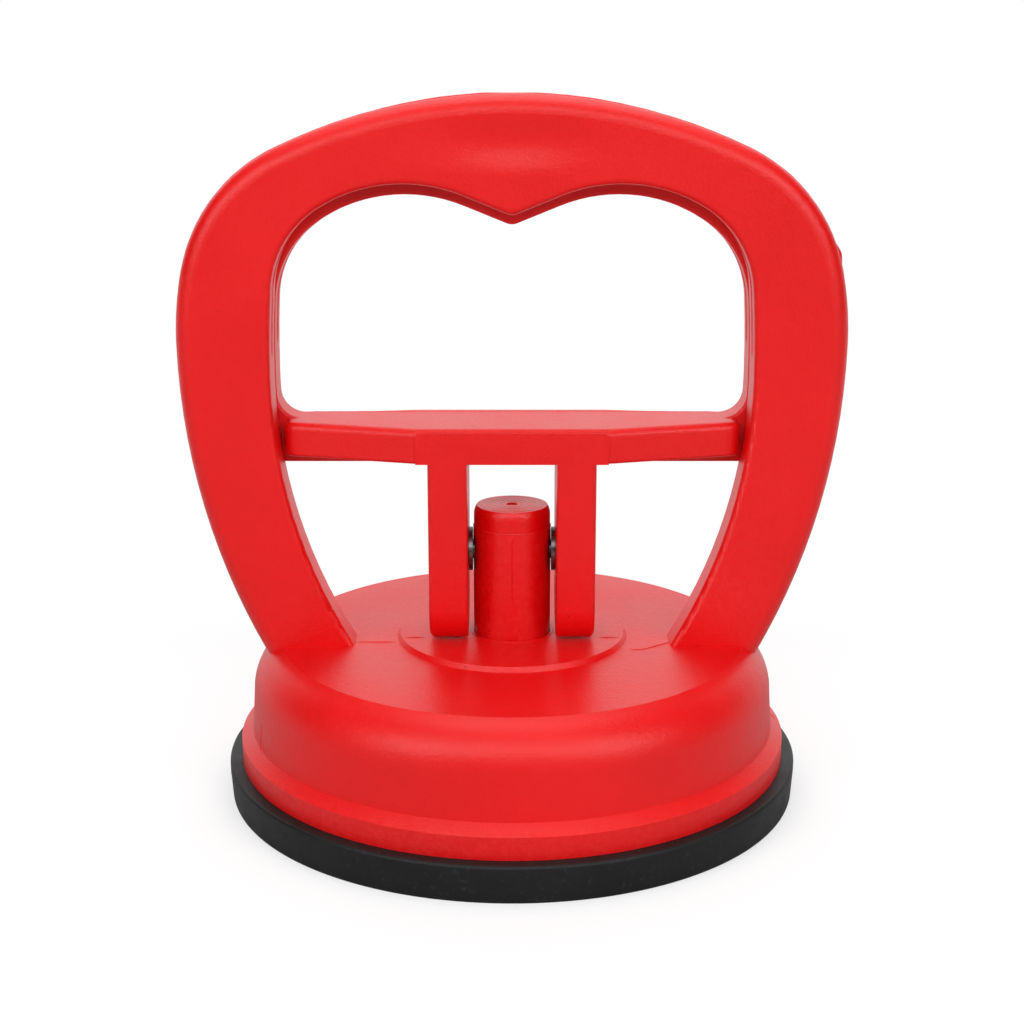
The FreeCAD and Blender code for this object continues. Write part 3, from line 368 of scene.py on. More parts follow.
def blend_colour(tree, mask, first, second):
    """Mix two colours, each an output socket or three numbers, by a mask."""
    node = add(tree, "ShaderNodeMix", data_type="RGBA")
    tree.links.new(mask, node.inputs["Factor"])
    for socket, value in ((node.inputs[6], first), (node.inputs[7], second)):
        if isinstance(value, tuple):
            socket.default_value = (*value, 1.0)
        else:
            tree.links.new(value, socket)
    return node.outputs[2]


def place_of_surface(tree):
    """Places on the piece itself, in metres, so that a pattern stays put as the piece moves."""
    return add(tree, "ShaderNodeTexCoord").outputs["Object"]


def build_moulded_grain():
    """Build the group for fine grain, soft clouding and stray dark specks of a moulding."""
    group, start, end = node_group(
        "moulded_grain",
        [("Place", "NodeSocketVector", (0, 0, 0)), ("Grain Size", "NodeSocketFloat", 0.00045),
         ("Roughness", "NodeSocketFloat", 0.38), ("Mottle", "NodeSocketFloat", 1.0)],
        [("Height", "NodeSocketFloat"), ("Roughness", "NodeSocketFloat"),
         ("Shade", "NodeSocketFloat"), ("Speck", "NodeSocketFloat")])
    place = start.outputs["Place"]
    scale = math_node(group, "DIVIDE", 1.0, start.outputs["Grain Size"])
    grain = noise_node(group, place, scale, 3.0, 0.6)
    coarse = noise_node(group, place, math_node(group, "MULTIPLY", scale, 0.22), 2.0, 0.5)
    cloud = noise_node(group, place, 45.0, 3.0, 0.55)
    wide = noise_node(group, place, 14.0, 1.0, 0.5)
    height = math_node(group, "MULTIPLY_ADD", coarse, 0.6, grain)
    group.links.new(height, end.inputs["Height"])
    wander = math_node(group, "ADD", swing(group, cloud, 0.16), swing(group, grain, 0.18))
    rough = math_node(group, "ADD", start.outputs["Roughness"], wander)
    group.links.new(rough, end.inputs["Roughness"])
    mottle = start.outputs["Mottle"]
    shade = math_node(group, "ADD", swing(group, cloud, mottle), swing(group, wide, mottle))
    group.links.new(math_node(group, "ADD", shade, 0.5), end.inputs["Shade"])
    speck = add(group, "ShaderNodeTexVoronoi", feature="F1")
    group.links.new(place, speck.inputs["Vector"])
    speck.inputs["Scale"].default_value = 160.0
    dots = spread(group, speck.outputs["Distance"], 0.030, 0.045, 1.0, 0.0)
    few = spread(group, noise_node(group, place, 60.0, 0.0), 0.60, 0.64)
    group.links.new(math_node(group, "MULTIPLY", dots, few), end.inputs["Speck"])


def build_rubbed_edges_and_sheen():
    """Build the group for a mask of the outer edges, broken by noise: paler as wear where hands and packing
    rub, and as a painted edge sheen.
    """
    group, start, end = node_group(
        "rubbed_edges_and_sheen",
        [("Place", "NodeSocketVector", (0, 0, 0)), ("Reach", "NodeSocketFloat", 0.5)],
        [("Mask", "NodeSocketFloat")])
    sharp = add(group, "ShaderNodeNewGeometry").outputs["Pointiness"]
    edge = spread(group, sharp, 0.50, 0.56)
    broken = spread(group, noise_node(group, start.outputs["Place"], 900.0, 4.0, 0.6), 0.38, 0.66)
    worn_and_sheen = math_node(group, "MULTIPLY", edge, broken)
    group.links.new(math_node(group, "MULTIPLY", worn_and_sheen, start.outputs["Reach"]), end.inputs["Mask"])


def use_group(tree, group, **values):
    """Place a shared group in a material; a name's underscores stand for spaces."""
    node = add(tree, "ShaderNodeGroup", node_tree=group)
    for key, value in values.items():
        feed(tree, node.inputs[key.replace("_", " ")], value)
    return node


def new_material(name):
    """A fresh material with its Principled BSDF and output."""
    material = bpy.data.materials.new(name)
    material.use_nodes = True
    tree = material.node_tree
    tree.nodes.clear()
    shader = tree.nodes.new("ShaderNodeBsdfPrincipled")
    out = tree.nodes.new("ShaderNodeOutputMaterial")
    tree.links.new(shader.outputs["BSDF"], out.inputs["Surface"])
    return material, tree, shader


def bump(tree, shader, height, depth):
    """Feed a height, worth depth metres from 0 to 1, to the shader's normal."""
    node = add(tree, "ShaderNodeBump")
    node.inputs["Strength"].default_value = 1.0
    node.inputs["Distance"].default_value = depth
    tree.links.new(height, node.inputs["Height"])
    tree.links.new(node.outputs["Normal"], shader.inputs["Normal"])


def dress(name, material):
    """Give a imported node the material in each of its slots."""
    for slot in NODES[name].material_slots:
        slot.material = material


def scaled(colour, share):
    """A colour made darker or lighter by a share, no brighter than white."""
    return tuple(min(1.0, channel * share) for channel in colour)


def moulded_plastic(name, shade=1.0, gloss=0.0):
    """Red moulded plastic. A shade under 1 darkens it a little, and gloss lowers the roughness."""
    plastic = bpy.context.scene.lifter_plastic
    material, tree, shader = new_material(name)
    place = place_of_surface(tree)
    grain = use_group(tree, bpy.data.node_groups["moulded_grain"], Place=place,
                      Grain_Size=plastic.grain_size, Roughness=plastic.roughness - gloss, Mottle=1.0)
    wear_and_sheen = use_group(tree, bpy.data.node_groups["rubbed_edges_and_sheen"], Place=place,
                       Reach=plastic.edge_wear_and_sheen)
    base = scaled(plastic.colour, shade)
    # Paler, pinker outer edges: partly wear, partly a painted highlight sheen along the edges.
    wear_and_sheen_colour = (min(1.0, base[0] * 1.07), base[1] + 0.022, base[2] + 0.022)
    colour = blend_colour(tree, grain.outputs["Shade"], scaled(base, 0.90), scaled(base, 1.10))
    colour = blend_colour(tree, wear_and_sheen.outputs["Mask"], colour, wear_and_sheen_colour)
    colour = blend_colour(tree, grain.outputs["Speck"], colour, scaled(base, 0.45))
    tree.links.new(colour, shader.inputs["Base Color"])
    tree.links.new(grain.outputs["Roughness"], shader.inputs["Roughness"])
    shader.inputs["IOR"].default_value = plastic.refraction
    bump(tree, shader, grain.outputs["Height"], plastic.grain_depth)
    return material


# ---------------------------------------------------------------- mesh helpers

def finish_mesh(name, shape, material, body):
    """Turn a bmesh into a smooth-shaded piece that rides on a body."""
    bmesh.ops.recalc_face_normals(shape, faces=shape.faces[:])
    mesh = bpy.data.meshes.new(name)
    shape.to_mesh(mesh)
    shape.free()
    for face in mesh.polygons:
        face.use_smooth = True
    mesh.set_sharp_from_angle(angle=math.radians(SMOOTH_ANGLE))
    mesh.materials.append(material)
    piece = bpy.data.objects.new(name, mesh)
    bpy.context.scene.collection.objects.link(piece)
    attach(piece, body)
    return piece


def rounded_section(corners):
    """A closed line through (radius, height, rounding) corners, each rounded with a short arc."""
    line = []
    count = len(corners)
    for index, (radius, height, turn) in enumerate(corners):
        here = Vector((radius, height))
        if turn <= 0.0:
            line.append(here)
            continue
        before = Vector(corners[index - 1][:2]) - here
        after = Vector(corners[(index + 1) % count][:2]) - here
        half = before.angle(after) / 2
        reach = min(turn / math.tan(half), before.length * ARC_SHARE, after.length * ARC_SHARE)
        start = here + before.normalized() * reach
        stop = here + after.normalized() * reach
        middle = here + (before.normalized() + after.normalized()).normalized() * reach / math.cos(half)
        size = (start - middle).length
        for step in range(ARC_STEPS + 1):
            spot = start.lerp(stop, step / ARC_STEPS) - middle
            line.append(middle + spot.normalized() * size)
    return line


def turned_shape(line, steps, closed_middle=False, sway=None):
    """Turn a closed section round the upright axis; sway moves each point a little."""
    shape = bmesh.new()
    rings = []
    for spot in line:
        ring = []
        for step in range(steps):
            angle = 2 * math.pi * step / steps
            radius, height = max(spot.x, 0.0), spot.y
            if sway:
                radius, height = sway(radius, height, angle)
            ring.append(shape.verts.new((radius * math.cos(angle), radius * math.sin(angle), height)))
        rings.append(ring)
    joined = rings if closed_middle else [*rings, rings[0]]
    for ring, follower in zip(joined, joined[1:]):
        for step in range(steps):
            after = (step + 1) % steps
            shape.faces.new((ring[step], ring[after], follower[after], follower[step]))
    if closed_middle:
        bmesh.ops.remove_doubles(shape, verts=shape.verts[:], dist=SAME_PLACE)
    return shape


def surface_tree(name):
    """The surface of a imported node, ready for ray casting."""
    mesh = NODES[name].data
    return BVHTree.FromPolygons([corner.co for corner in mesh.vertices],
                                [tuple(face.vertices) for face in mesh.polygons])


def between(points, spacing):
    """Even steps along a line through the points."""
    points = [Vector(point) for point in points]
    line = [points[0]]
    for start, stop in zip(points, points[1:]):
        count = max(1, round((stop - start).length / spacing))
        line += [start.lerp(stop, step / count) for step in range(1, count + 1)]
    return line


def draped(tree, rays):
    """Where each ray, a start and a heading, meets a surface, with the normal that faces the ray."""
    spots = []
    for start, heading in rays:
        spot, normal, _, _ = tree.ray_cast(start, heading)
        if spot is not None:
            spots.append((spot, normal if normal.dot(heading) < 0 else -normal))
    return spots


def add_ridge(shape, spots, width, height, closed=False, fade=3, uneven=0.4):
    """Add a thin raised line over the spots: uneven in height, and fading at its ends."""
    count = len(spots)
    if count < 3:
        raise RuntimeError("a moulding line has nothing to lie on")
    low, high = (Vector(corner) for corner in CAD_BOX)
    rows = []
    for index, (spot, normal) in enumerate(spots):
        before = spots[index - 1 if closed or index else 0]
        after = spots[(index + 1) % count if closed or index < count - 1 else index]
        up = (before[1] + normal + after[1]).normalized()
        side = (after[0] - before[0]).cross(up).normalized()
        level = 1.0 + uneven * noise.noise(spot * RIDGE_WANDER)
        if not closed:
            from_end = min(index, count - 1 - index)
            level *= min(1.0, (from_end + RIDGE_END) / fade)
        row = []
        for across, rise in RIDGE_SECTION:
            place = spot + side * across * width + up * rise * height * (level if rise > 0 else 1.0)
            inside = [min(max(number, least), most) for number, least, most in zip(place, low, high)]
            row.append(shape.verts.new(inside))
        rows.append(row)
    width_steps = len(RIDGE_SECTION)
    joined = [*rows, rows[0]] if closed else rows
    for row, follower in zip(joined, joined[1:]):
        for step in range(width_steps):
            beside = (step + 1) % width_steps
            shape.faces.new((row[step], row[beside], follower[beside], follower[step]))
    if not closed:
        shape.faces.new(rows[0])
        shape.faces.new(list(reversed(rows[-1])))


# ---------------------------------------------------------------- operators

class LIFTER_OT_shared_effects(bpy.types.Operator):
    """Build the shader groups that the finishes share"""
    bl_idname = "lifter.shared_effects"
    bl_label = "Shared effects"

    def execute(self, context):
        build_moulded_grain()
        build_rubbed_edges_and_sheen()
        return {"FINISHED"}


class LIFTER_OT_housing(bpy.types.Operator):
    """Finish the moulded housing with its fixed handle loop"""
    bl_idname = "lifter.housing"
    bl_label = "Housing"
    KEPT = "kept_normal"
    FLAT = 0.01 * MM
    FACING_FRONT = -0.999

    def execute(self, context):
        material = moulded_plastic("housing_red_plastic")
        dress("handle_housing", material)
        self.hollow_crown(context.scene.lifter_hollow, material)
        return {"FINISHED"}

    @classmethod
    def hollow_crown(cls, hollow, material):
        """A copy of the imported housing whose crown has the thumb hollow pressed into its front."""
        mesh = NODES["handle_housing"].data.copy()
        mesh.name = "handle_housing_hollowed"
        kept = mesh.attributes.new(cls.KEPT, "FLOAT_VECTOR", "CORNER")
        for entry, normal in zip(kept.data, mesh.corner_normals):
            entry.vector = normal.vector
        shape = bmesh.new()
        shape.from_mesh(mesh)
        front = min(corner.co.y for corner in shape.verts if corner.co.z > hollow.middle)
        cls.cut_finer(shape, hollow, front)
        cls.turn_normals(shape, hollow, front)
        cls.press_in(shape, hollow, front)
        shape.to_mesh(mesh)
        shape.free()
        kept = mesh.attributes[cls.KEPT]
        mesh.normals_split_custom_set([tuple(Vector(entry.vector).normalized()) for entry in kept.data])
        mesh.attributes.remove(mesh.attributes[cls.KEPT])
        mesh.materials.clear()
        mesh.materials.append(material)
        piece = bpy.data.objects.new("handle_housing_hollowed", mesh)
        bpy.context.scene.collection.objects.link(piece)
        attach(piece, "housing")
        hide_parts("handle_housing")

    @classmethod
    def faces_on_front(cls, shape, hollow, front):
        """The faces on the flat front of the crown that reach as high as the hollow."""
        lowest = hollow.middle - hollow.half_height
        return [face for face in shape.faces
                if face.normal.y < cls.FACING_FRONT and abs(face.verts[0].co.y - front) < cls.FLAT
                and max(corner.co.z for corner in face.verts) > lowest]

    @classmethod
    def cut_finer(cls, shape, hollow, front):
        """Cut the front's large triangles by upright and level planes, so that they can bend."""
        upright = (0, 0.0, hollow.half_width)
        level = (2, hollow.middle, hollow.half_height)
        for axis, middle, reach in (upright, level):
            count = math.ceil(reach / hollow.mesh_step)
            for step in range(-count, count + 1):
                place = Vector((0.0, front, 0.0))
                place[axis] = middle + reach * step / count
                heading = Vector((0.0, 0.0, 0.0))
                heading[axis] = 1.0
                faces = cls.faces_on_front(shape, hollow, front)
                around = {part for face in faces for part in (*face.verts, *face.edges)}
                bmesh.ops.bisect_plane(shape, geom=[*faces, *around], plane_co=place,
                                       plane_no=heading, dist=SAME_PLACE)

    @staticmethod
    def turns(hollow, corner):
        """Where a corner lies across and up the hollow, as angles: a quarter turn is its edge."""
        return (math.pi / 2 * corner.co.x / hollow.half_width,
                math.pi / 2 * (corner.co.z - hollow.middle) / hollow.half_height)

    @classmethod
    def turn_normals(cls, shape, hollow, front):
        """Give the hollow's corners the slope of its bell-shaped floor; the rest keep their own."""
        layer = shape.loops.layers.float_vector[cls.KEPT]
        steep_across = hollow.depth * math.pi / 2 / hollow.half_width
        steep_up = hollow.depth * math.pi / 2 / hollow.half_height
        for face in cls.faces_on_front(shape, hollow, front):
            for loop in face.loops:
                across, up = cls.turns(hollow, loop.vert)
                if max(abs(across), abs(up)) < math.pi / 2:
                    aside = -steep_across * math.sin(2 * across) * math.cos(up) ** 2
                    upward = -steep_up * math.sin(2 * up) * math.cos(across) ** 2
                    loop[layer] = Vector((aside, -1.0, upward)).normalized()

    @classmethod
    def press_in(cls, shape, hollow, front):
        """Move the hollow's corners inward."""
        for corner in shape.verts:
            across, up = cls.turns(hollow, corner)
            if max(abs(across), abs(up)) < math.pi / 2 and abs(corner.co.y - front) < cls.FLAT:
                corner.co.y += hollow.depth * math.cos(across) ** 2 * math.cos(up) ** 2


class LIFTER_OT_lever(bpy.types.Operator):
    """Finish the moulded lever with its loop, crossbar and cam legs"""
    bl_idname = "lifter.lever"
    bl_label = "Lever"

    def execute(self, context):
        dress("lever", moulded_plastic("lever_red_plastic", shade=0.98))
        return {"FINISHED"}


class LIFTER_OT_post(bpy.types.Operator):
    """Finish the lifting post"""
    bl_idname = "lifter.post"
    bl_label = "Post"

    def execute(self, context):
        dress("lift_post", moulded_plastic("post_red_plastic", shade=0.96, gloss=0.06))
        return {"FINISHED"}


class LIFTER_OT_steel(bpy.types.Operator):
    """Finish the pin, washers, stud and plate in drawn steel"""
    bl_idname = "lifter.steel"
    bl_label = "Steel pieces"

    def execute(self, context):
        steel = context.scene.lifter_steel
        self.finish(steel, "drawn_steel", 1.0, ("cup_stud", "insert_plate"))
        # A darker copy of the steel for the pin and washers: partly oxide, partly painted shade of the gap
        # they sit in.
        self.finish(steel, "gap_shaded_steel", steel.gap_shaded, ("hinge_pin", "thrust_washer_left",
                                                        "thrust_washer_right"))
        return {"FINISHED"}

    @staticmethod
    def finish(steel, name, shade, steel_nodes):
        """Drawn steel with fine lines and stains, as bright as shade says."""
        material, tree, shader = new_material(name)
        place = place_of_surface(tree)
        stretch = add(tree, "ShaderNodeMapping")
        stretch.inputs["Scale"].default_value = (0.15, 1.0, 1.0)
        tree.links.new(place, stretch.inputs["Vector"])
        lines = noise_node(tree, stretch.outputs["Vector"], 3200.0, 3.0, 0.6)
        stain = noise_node(tree, place, 420.0, 3.0, 0.6)
        bright = scaled(steel.colour, shade)
        colour = blend_colour(tree, spread(tree, stain, 0.42, 0.60), bright, scaled(bright, 0.4))
        tree.links.new(colour, shader.inputs["Base Color"])
        tree.links.new(spread(tree, lines, 0.3, 0.7, steel.roughness - 0.08, steel.roughness + 0.12),
                       shader.inputs["Roughness"])
        shader.inputs["Metallic"].default_value = 1.0
        bump(tree, shader, lines, 0.000004)
        for node in steel_nodes:
            dress(node, material)


class LIFTER_OT_cup(bpy.types.Operator):
    """Model the rubber cup: a firm rim with its sealing lip, and the membrane that the post lifts"""
    bl_idname = "lifter.cup"
    bl_label = "Rubber cup"
    SIDE_SLOPE = 0.4 * MM
    SIDE_TOP = 5.6 * MM
    INNER_DROP = 0.6 * MM
    HUB_STEPS = 6
    RUN_STEPS = 20

    def execute(self, context):
        rubber = context.scene.lifter_rubber
        low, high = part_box("suction_cup")
        radius, floor = high.x, low.z
        lip = radius - self.SIDE_SLOPE - rubber.lip_width
        material = self.rubber_material(rubber)

        shape = turned_shape(self.rim_line(rubber, radius, floor, lip), rubber.steps,
                             sway=self.swayed_from(lip))
        ring = finish_mesh("cup_rim", shape, material, "housing")
        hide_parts("suction_cup")

        shape = turned_shape(self.membrane_line(rubber, lip, high.z), rubber.steps // 2,
                             closed_middle=True)
        membrane = finish_mesh("cup_membrane", shape, material, "housing")
        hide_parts("suction_cup")
        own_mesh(membrane)
        return {"FINISHED"}

    @staticmethod
    def swayed_from(lip):
        """How soft rubber's rim strays from an even one, outside the lip's inner edge."""
        def sway(distance, height, angle):
            """A point of the rim a little further in and lower, in slow waves round the cup."""
            if distance < lip + 4 * MM or height < 0.4 * MM:
                return distance, height
            turn = Vector((math.cos(angle) * 2.2, math.sin(angle) * 2.2, 3.1))
            drop = max(0.0, noise.noise(turn) + 0.35)
            return distance - drop * 0.10 * MM, height - drop * 0.14 * MM * (height > 5 * MM)
        return sway

    @classmethod
    def rim_line(cls, rubber, radius, floor, lip):
        """The rim's section: its side, its top, the bead, and the inner face down to the lip."""
        bead_top = rubber.rim_height + rubber.bead_rise
        return rounded_section([
            (radius - cls.SIDE_SLOPE, floor, 0.35 * MM),
            (radius, floor + cls.SIDE_TOP, 0.0),
            (radius, rubber.rim_height, rubber.edge_round),
            (rubber.bead_outer + 0.3 * MM, rubber.rim_height, 0.3 * MM),
            (rubber.bead_outer, bead_top, 0.4 * MM),
            (rubber.bead_inner, bead_top, 0.4 * MM),
            (lip, rubber.rim_height - cls.INNER_DROP, 0.0),
            (lip, floor, 0.0),
        ])

    @classmethod
    def membrane_line(cls, rubber, lip, top):
        """The membrane's section: under it from the middle to the rim, and back over it to the stud."""
        hub, lift = rubber.hub_radius, rubber.lift
        run = lip - hub
        crest, foot = lift + rubber.skin, rubber.rim_height - cls.INNER_DROP
        line = [Vector((hub * step / cls.HUB_STEPS, lift)) for step in range(cls.HUB_STEPS + 1)]
        for step in range(1, cls.RUN_STEPS + 1):
            share = step / cls.RUN_STEPS
            line.append(Vector((hub + run * share, lift * (math.cos(math.pi * share) + 1) / 2)))
        line.append(Vector((lip, foot)))
        for step in range(cls.RUN_STEPS - 1, -1, -1):
            share = step / cls.RUN_STEPS
            height = crest - (crest - foot) * math.sin(math.pi / 2 * share) ** 2
            line.append(Vector((hub + run * share, height)))
        return line + [
            Vector((hub - 1.4 * MM, top - 0.4 * MM)),
            Vector((hub - 2 * MM, top)),
            Vector((rubber.stud_hole, top)),
            Vector((rubber.stud_hole, rubber.stud_floor)),
            Vector((0.0, rubber.stud_floor)),
        ]

    @staticmethod
    def rubber_material(rubber):
        """Satin black rubber with a fine matt bloom."""
        material, tree, shader = new_material("cup_black_rubber")
        place = place_of_surface(tree)
        fine = noise_node(tree, place, 2600.0, 3.0, 0.6)
        bloom = noise_node(tree, place, 70.0, 4.0, 0.6)
        dust = spread(tree, noise_node(tree, place, 900.0, 4.0, 0.7), 0.56, 0.80)
        base = tuple(rubber.colour)
        colour = blend_colour(tree, spread(tree, bloom, 0.35, 0.75), base, scaled(base, 1.7))
        colour = blend_colour(tree, math_node(tree, "MULTIPLY", dust, 0.35), colour, (0.09, 0.09, 0.088))
        tree.links.new(colour, shader.inputs["Base Color"])
        tree.links.new(spread(tree, bloom, 0.25, 0.75, rubber.roughness - 0.06, rubber.roughness + 0.10),
                       shader.inputs["Roughness"])
        shader.inputs["IOR"].default_value = rubber.refraction
        bump(tree, shader, fine, 0.00001)
        return material


class LIFTER_OT_marks(bpy.types.Operator):
    """Add the parting lines, flash and nicks of the three mouldings"""
    bl_idname = "lifter.marks"
    bl_label = "Moulding marks"

    def execute(self, context):
        marks = context.scene.lifter_marks
        self.housing_marks(marks)
        self.lever_marks(marks)
        self.post_marks(marks)
        return {"FINISHED"}

    @staticmethod
    def from_above(marks, points, height):
        """Rays straight down over a line in plan, in millimetres."""
        line = between([(x * MM, y * MM, height * MM) for x, y in points], marks.spacing)
        return [(spot, DOWN) for spot in line]

    @staticmethod
    def from_front(points, spacing):
        """Rays to the rear over a line of places across and heights, in millimetres."""
        line = between([(x * MM, BEFORE_FRONT * MM, z * MM) for x, z in points], spacing)
        return [(spot, TO_THE_REAR) for spot in line]

    @staticmethod
    def round_about(y, first, last, outward):
        """Rays in an upright plane, inward to a loop's outline or outward to its window."""
        rays = []
        centre = Vector((0.0, y * MM, LOOP_MIDDLE * MM))
        steps = int((last - first) / SEAM_STEP)
        for step in range(steps + 1):
            angle = math.radians(first + (last - first) * step / steps)
            heading = Vector((math.cos(angle), 0.0, math.sin(angle)))
            outside = centre + heading * (OUTSIDE_LOOPS * MM)
            rays.append((centre, heading) if outward else (outside, -heading))
        return rays

    @staticmethod
    def circle(radius, height, inward):
        """Rays round the upright axis: straight down, or inward to a post."""
        rays = []
        for step in range(RING_STEPS):
            angle = 2 * math.pi * step / RING_STEPS
            out = Vector((math.cos(angle), math.sin(angle), 0.0))
            start = out * radius * MM + Vector((0, 0, height * MM))
            rays.append((start, -out if inward else DOWN))
        return rays

    def housing_marks(self, marks):
        tree = surface_tree("handle_housing")
        wide, tall = marks.line_width, marks.line_height
        shape = bmesh.new()
        for points in DOME_LINES:
            add_ridge(shape, draped(tree, self.from_above(marks, points, ABOVE_DOME)), wide, tall)
        for first, last, outward in HOUSING_SEAMS:
            add_ridge(shape, draped(tree, self.round_about(-SEAM_OFFSET, first, last, outward)), wide, tall)
        add_ridge(shape, draped(tree, self.circle(GUIDE_RING, ABOVE_DOME, False)),
                  0.4 * MM, 0.10 * MM, closed=True)
        for points, width, height in FLANGE_NICKS:
            add_ridge(shape, draped(tree, self.from_above(marks, points, ABOVE_FLANGE)),
                      width * MM, height * MM, fade=2)
        gate = between([(OUTSIDE_LOOPS * MM, -SEAM_OFFSET * MM, height * MM) for height in GATE_ENDS],
                       marks.spacing)
        add_ridge(shape, draped(tree, [(spot, TO_THE_LEFT) for spot in gate]),
                  1.8 * MM, 0.55 * MM, fade=4, uneven=0.1)
        finish_mesh("housing_moulding_marks", shape, bpy.data.materials["housing_red_plastic"],
                    "housing")

    def lever_marks(self, marks):
        tree = surface_tree("lever")
        wide, tall = marks.line_width, marks.line_height
        shape = bmesh.new()
        for first, last, outward in LEVER_SEAMS:
            add_ridge(shape, draped(tree, self.round_about(SEAM_OFFSET, first, last, outward)), wide, tall)
        add_ridge(shape, draped(tree, self.from_above(marks, CROSSBAR_LINE, ABOVE_CROSSBAR)),
                  0.40 * MM, 0.07 * MM)
        for points in CROSSBAR_NICKS:
            add_ridge(shape, draped(tree, self.from_above(marks, points, ABOVE_CROSSBAR)),
                      0.22 * MM, 0.07 * MM, fade=2)
        for x, z, run in PANEL_NICKS:
            rays = self.from_front(((x, z), (x + run, z + run / 2)), marks.spacing / 2)
            add_ridge(shape, draped(tree, rays), 0.2 * MM, 0.06 * MM, fade=2)
        finish_mesh("lever_moulding_marks", shape, bpy.data.materials["lever_red_plastic"],
                    "lever")

    def post_marks(self, marks):
        tree = surface_tree("lift_post")
        wide, tall = marks.line_width, marks.line_height
        shape = bmesh.new()
        for low, high, in_guide in POST_SEAMS:
            rays = self.from_front(((0.0, low), (0.0, high)), marks.spacing)
            add_ridge(shape, draped(tree, rays), wide, marks.sliding_height if in_guide else tall)
        for x, z, size, in_guide in POST_FLASH:
            rays = self.from_front(((x, z - size / 2), (x, z + size / 2)), marks.spacing / 3)
            add_ridge(shape, draped(tree, rays), 0.55 * MM,
                      marks.sliding_height if in_guide else FLASH_HEIGHT * MM, fade=3, uneven=0.2)
        add_ridge(shape, draped(tree, self.circle(OUTSIDE_POST, POST_BAND, True)),
                  0.36 * MM, 0.09 * MM, closed=True)
        for radius in POST_RINGS:
            add_ridge(shape, draped(tree, self.circle(radius, ABOVE_POST, False)),
                      0.4 * MM, 0.05 * MM, closed=True)
        finish_mesh("post_moulding_marks", shape, bpy.data.materials["post_red_plastic"],
                    "post")


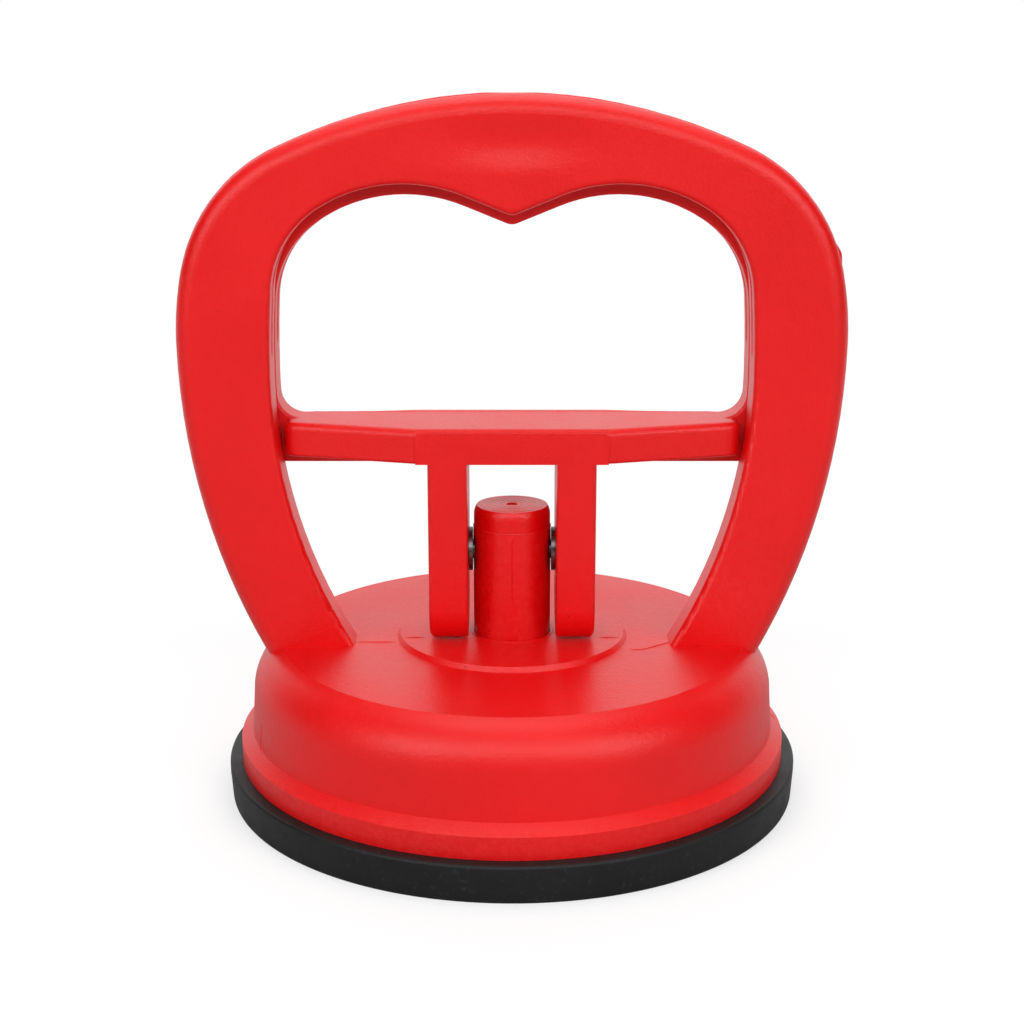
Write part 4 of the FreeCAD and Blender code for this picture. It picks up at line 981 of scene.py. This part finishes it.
class LIFTER_OT_stage(bpy.types.Operator):
    """Set up the floor, the surrounding light, the lamps and the camera"""
    bl_idname = "lifter.stage"
    bl_label = "Stage"
    FLOOR_REACH = 6.0
    FLOOR_PARTS = 8
    REAR_SHOWS = (0.0, 0.2)
    SHADOW_FADE = 1.9
    SENSOR_WIDTH = 36.0

    def execute(self, context):
        scene = context.scene
        stage = scene.lifter_stage
        scene.view_settings.view_transform = "Standard"
        self.floor(scene, stage)
        self.surround(scene, stage)
        self.lamps(scene)
        eye = bpy.data.cameras.new("camera")
        eye.lens = stage.lens
        eye.sensor_width = self.SENSOR_WIDTH
        holder = bpy.data.objects.new("camera", eye)
        holder.location = stage.camera_place
        holder.rotation_euler = (math.pi / 2 - stage.camera_tilt, 0.0, 0.0)
        scene.collection.objects.link(holder)
        scene.camera = holder
        return {"FINISHED"}

    @classmethod
    def floor(cls, scene, stage):
        """A wide pale floor under the cup."""
        shape = bmesh.new()
        bmesh.ops.create_grid(shape, x_segments=cls.FLOOR_PARTS, y_segments=cls.FLOOR_PARTS,
                              size=cls.FLOOR_REACH)
        mesh = bpy.data.meshes.new("floor")
        shape.to_mesh(mesh)
        shape.free()
        mesh.materials.append(cls.floor_material(stage))
        ground = bpy.data.objects.new("floor", mesh)
        scene.collection.objects.link(ground)

    @classmethod
    def floor_material(cls, stage):
        """Matt and filled with light near the cup, so that its shadow shows, and plain white far off.

        Reflections show it white only behind the object, where a backdrop would stand."""
        material = bpy.data.materials.new("floor_white")
        material.use_nodes = True
        tree = material.node_tree
        tree.nodes.clear()
        place = place_of_surface(tree)
        path = add(tree, "ShaderNodeLightPath")
        camera = path.outputs["Is Camera Ray"]

        matt = add(tree, "ShaderNodeBsdfDiffuse")
        matt.inputs["Color"].default_value = (*stage.floor_colour, 1.0)
        fill = add(tree, "ShaderNodeEmission")
        feed(tree, fill.inputs["Strength"], math_node(tree, "MULTIPLY", camera, stage.floor_fill))
        near = add(tree, "ShaderNodeAddShader")
        tree.links.new(matt.outputs[0], near.inputs[0])
        tree.links.new(fill.outputs[0], near.inputs[1])
        glow = add(tree, "ShaderNodeEmission")
        glow.inputs["Strength"].default_value = 1.0

        mirrored = math_node(tree, "MAXIMUM", path.outputs["Is Glossy Ray"],
                             path.outputs["Is Transmission Ray"])
        split = add(tree, "ShaderNodeSeparateXYZ")
        tree.links.new(place, split.inputs[0])
        rear = spread(tree, split.outputs["Y"], *cls.REAR_SHOWS)
        seen = math_node(tree, "MAXIMUM", camera, math_node(tree, "MULTIPLY", mirrored, rear))
        span = add(tree, "ShaderNodeVectorMath", operation="LENGTH")
        tree.links.new(place, span.inputs[0])
        far = spread(tree, span.outputs["Value"], stage.shadow_reach, stage.shadow_reach * cls.SHADOW_FADE)

        both = add(tree, "ShaderNodeMixShader")
        tree.links.new(math_node(tree, "MULTIPLY", seen, far), both.inputs[0])
        tree.links.new(near.outputs[0], both.inputs[1])
        tree.links.new(glow.outputs[0], both.inputs[2])
        out = add(tree, "ShaderNodeOutputMaterial")
        tree.links.new(both.outputs[0], out.inputs["Surface"])
        return material

    @staticmethod
    def surround(scene, stage):
        """White to the camera, and to the object a dim room with a bright backdrop and a ceiling."""
        world = bpy.data.worlds.new("studio")
        scene.world = world
        world.use_nodes = True
        tree = world.node_tree
        tree.nodes.clear()
        path = add(tree, "ShaderNodeLightPath")
        seen = math_node(tree, "MAXIMUM", path.outputs["Is Camera Ray"],
                         path.outputs["Is Transmission Ray"])
        direction = add(tree, "ShaderNodeSeparateXYZ")
        tree.links.new(add(tree, "ShaderNodeTexCoord").outputs["Generated"], direction.inputs[0])
        behind = spread(tree, direction.outputs["Y"], *BACKDROP_EDGE, 0.0, stage.backdrop_light)
        above = spread(tree, direction.outputs["Z"], *CEILING_EDGE, 0.0, stage.ceiling_light)
        bright = math_node(tree, "MAXIMUM", behind, above)
        strength = add(tree, "ShaderNodeMix", data_type="FLOAT")
        tree.links.new(seen, strength.inputs["Factor"])
        tree.links.new(math_node(tree, "MAXIMUM", bright, stage.room_light), strength.inputs[2])
        strength.inputs[3].default_value = 1.0
        light = add(tree, "ShaderNodeBackground")
        light.inputs["Color"].default_value = (1.0, 1.0, 1.0, 1.0)
        tree.links.new(strength.outputs[0], light.inputs["Strength"])
        out = add(tree, "ShaderNodeOutputWorld")
        tree.links.new(light.outputs[0], out.inputs["Surface"])

    @staticmethod
    def lamps(scene):
        """Large soft lamps: one overhead, a wide one in front above the camera, and two at the sides."""
        for name, spot, width, height, power in LAMPS:
            lamp = bpy.data.lights.new(name, "AREA")
            lamp.shape = "RECTANGLE"
            lamp.size = width
            lamp.size_y = height
            lamp.energy = power
            holder = bpy.data.objects.new(name, lamp)
            holder.location = spot
            holder.rotation_euler = (LAMP_TARGET - Vector(spot)).to_track_quat("-Z", "Y").to_euler()
            scene.collection.objects.link(holder)


class LIFTER_PT_panel(bpy.types.Panel):
    """Lists the lifter's operators and settings in the sidebar"""
    bl_idname = "LIFTER_PT_panel"
    bl_label = "Suction lifter"
    bl_space_type = "VIEW_3D"
    bl_region_type = "UI"
    bl_category = "Lifter"

    def draw(self, context):
        scene = context.scene
        for name, _ in SETTINGS:
            settings = getattr(scene, name)
            box = self.layout.box()
            for field in settings.bl_rna.properties:
                if field.identifier not in ("rna_type", "name"):
                    box.prop(settings, field.identifier)
        for operator in STEPS:
            self.layout.operator(operator.bl_idname)


SETTINGS = (
    ("lifter_plastic", LifterPlasticSettings),
    ("lifter_hollow", LifterHollowSettings),
    ("lifter_rubber", LifterRubberSettings),
    ("lifter_steel", LifterSteelSettings),
    ("lifter_marks", LifterMarkSettings),
    ("lifter_stage", LifterStageSettings),
)
STEPS = (LIFTER_OT_shared_effects, LIFTER_OT_housing, LIFTER_OT_lever, LIFTER_OT_post, LIFTER_OT_steel,
         LIFTER_OT_cup, LIFTER_OT_marks, LIFTER_OT_stage)


def register():
    for name, group in SETTINGS:
        bpy.utils.register_class(group)
        setattr(bpy.types.Scene, name, PointerProperty(type=group))
    for operator in STEPS:
        bpy.utils.register_class(operator)
    bpy.utils.register_class(LIFTER_PT_panel)


def unregister():
    bpy.utils.unregister_class(LIFTER_PT_panel)
    for operator in reversed(STEPS):
        bpy.utils.unregister_class(operator)
    for name, group in reversed(SETTINGS):
        delattr(bpy.types.Scene, name)
        bpy.utils.unregister_class(group)


def main():
    register()
    for operator in STEPS:
        area, name = operator.bl_idname.split(".")
        getattr(getattr(bpy.ops, area), name)()


if __name__ == "__main__":
    main()
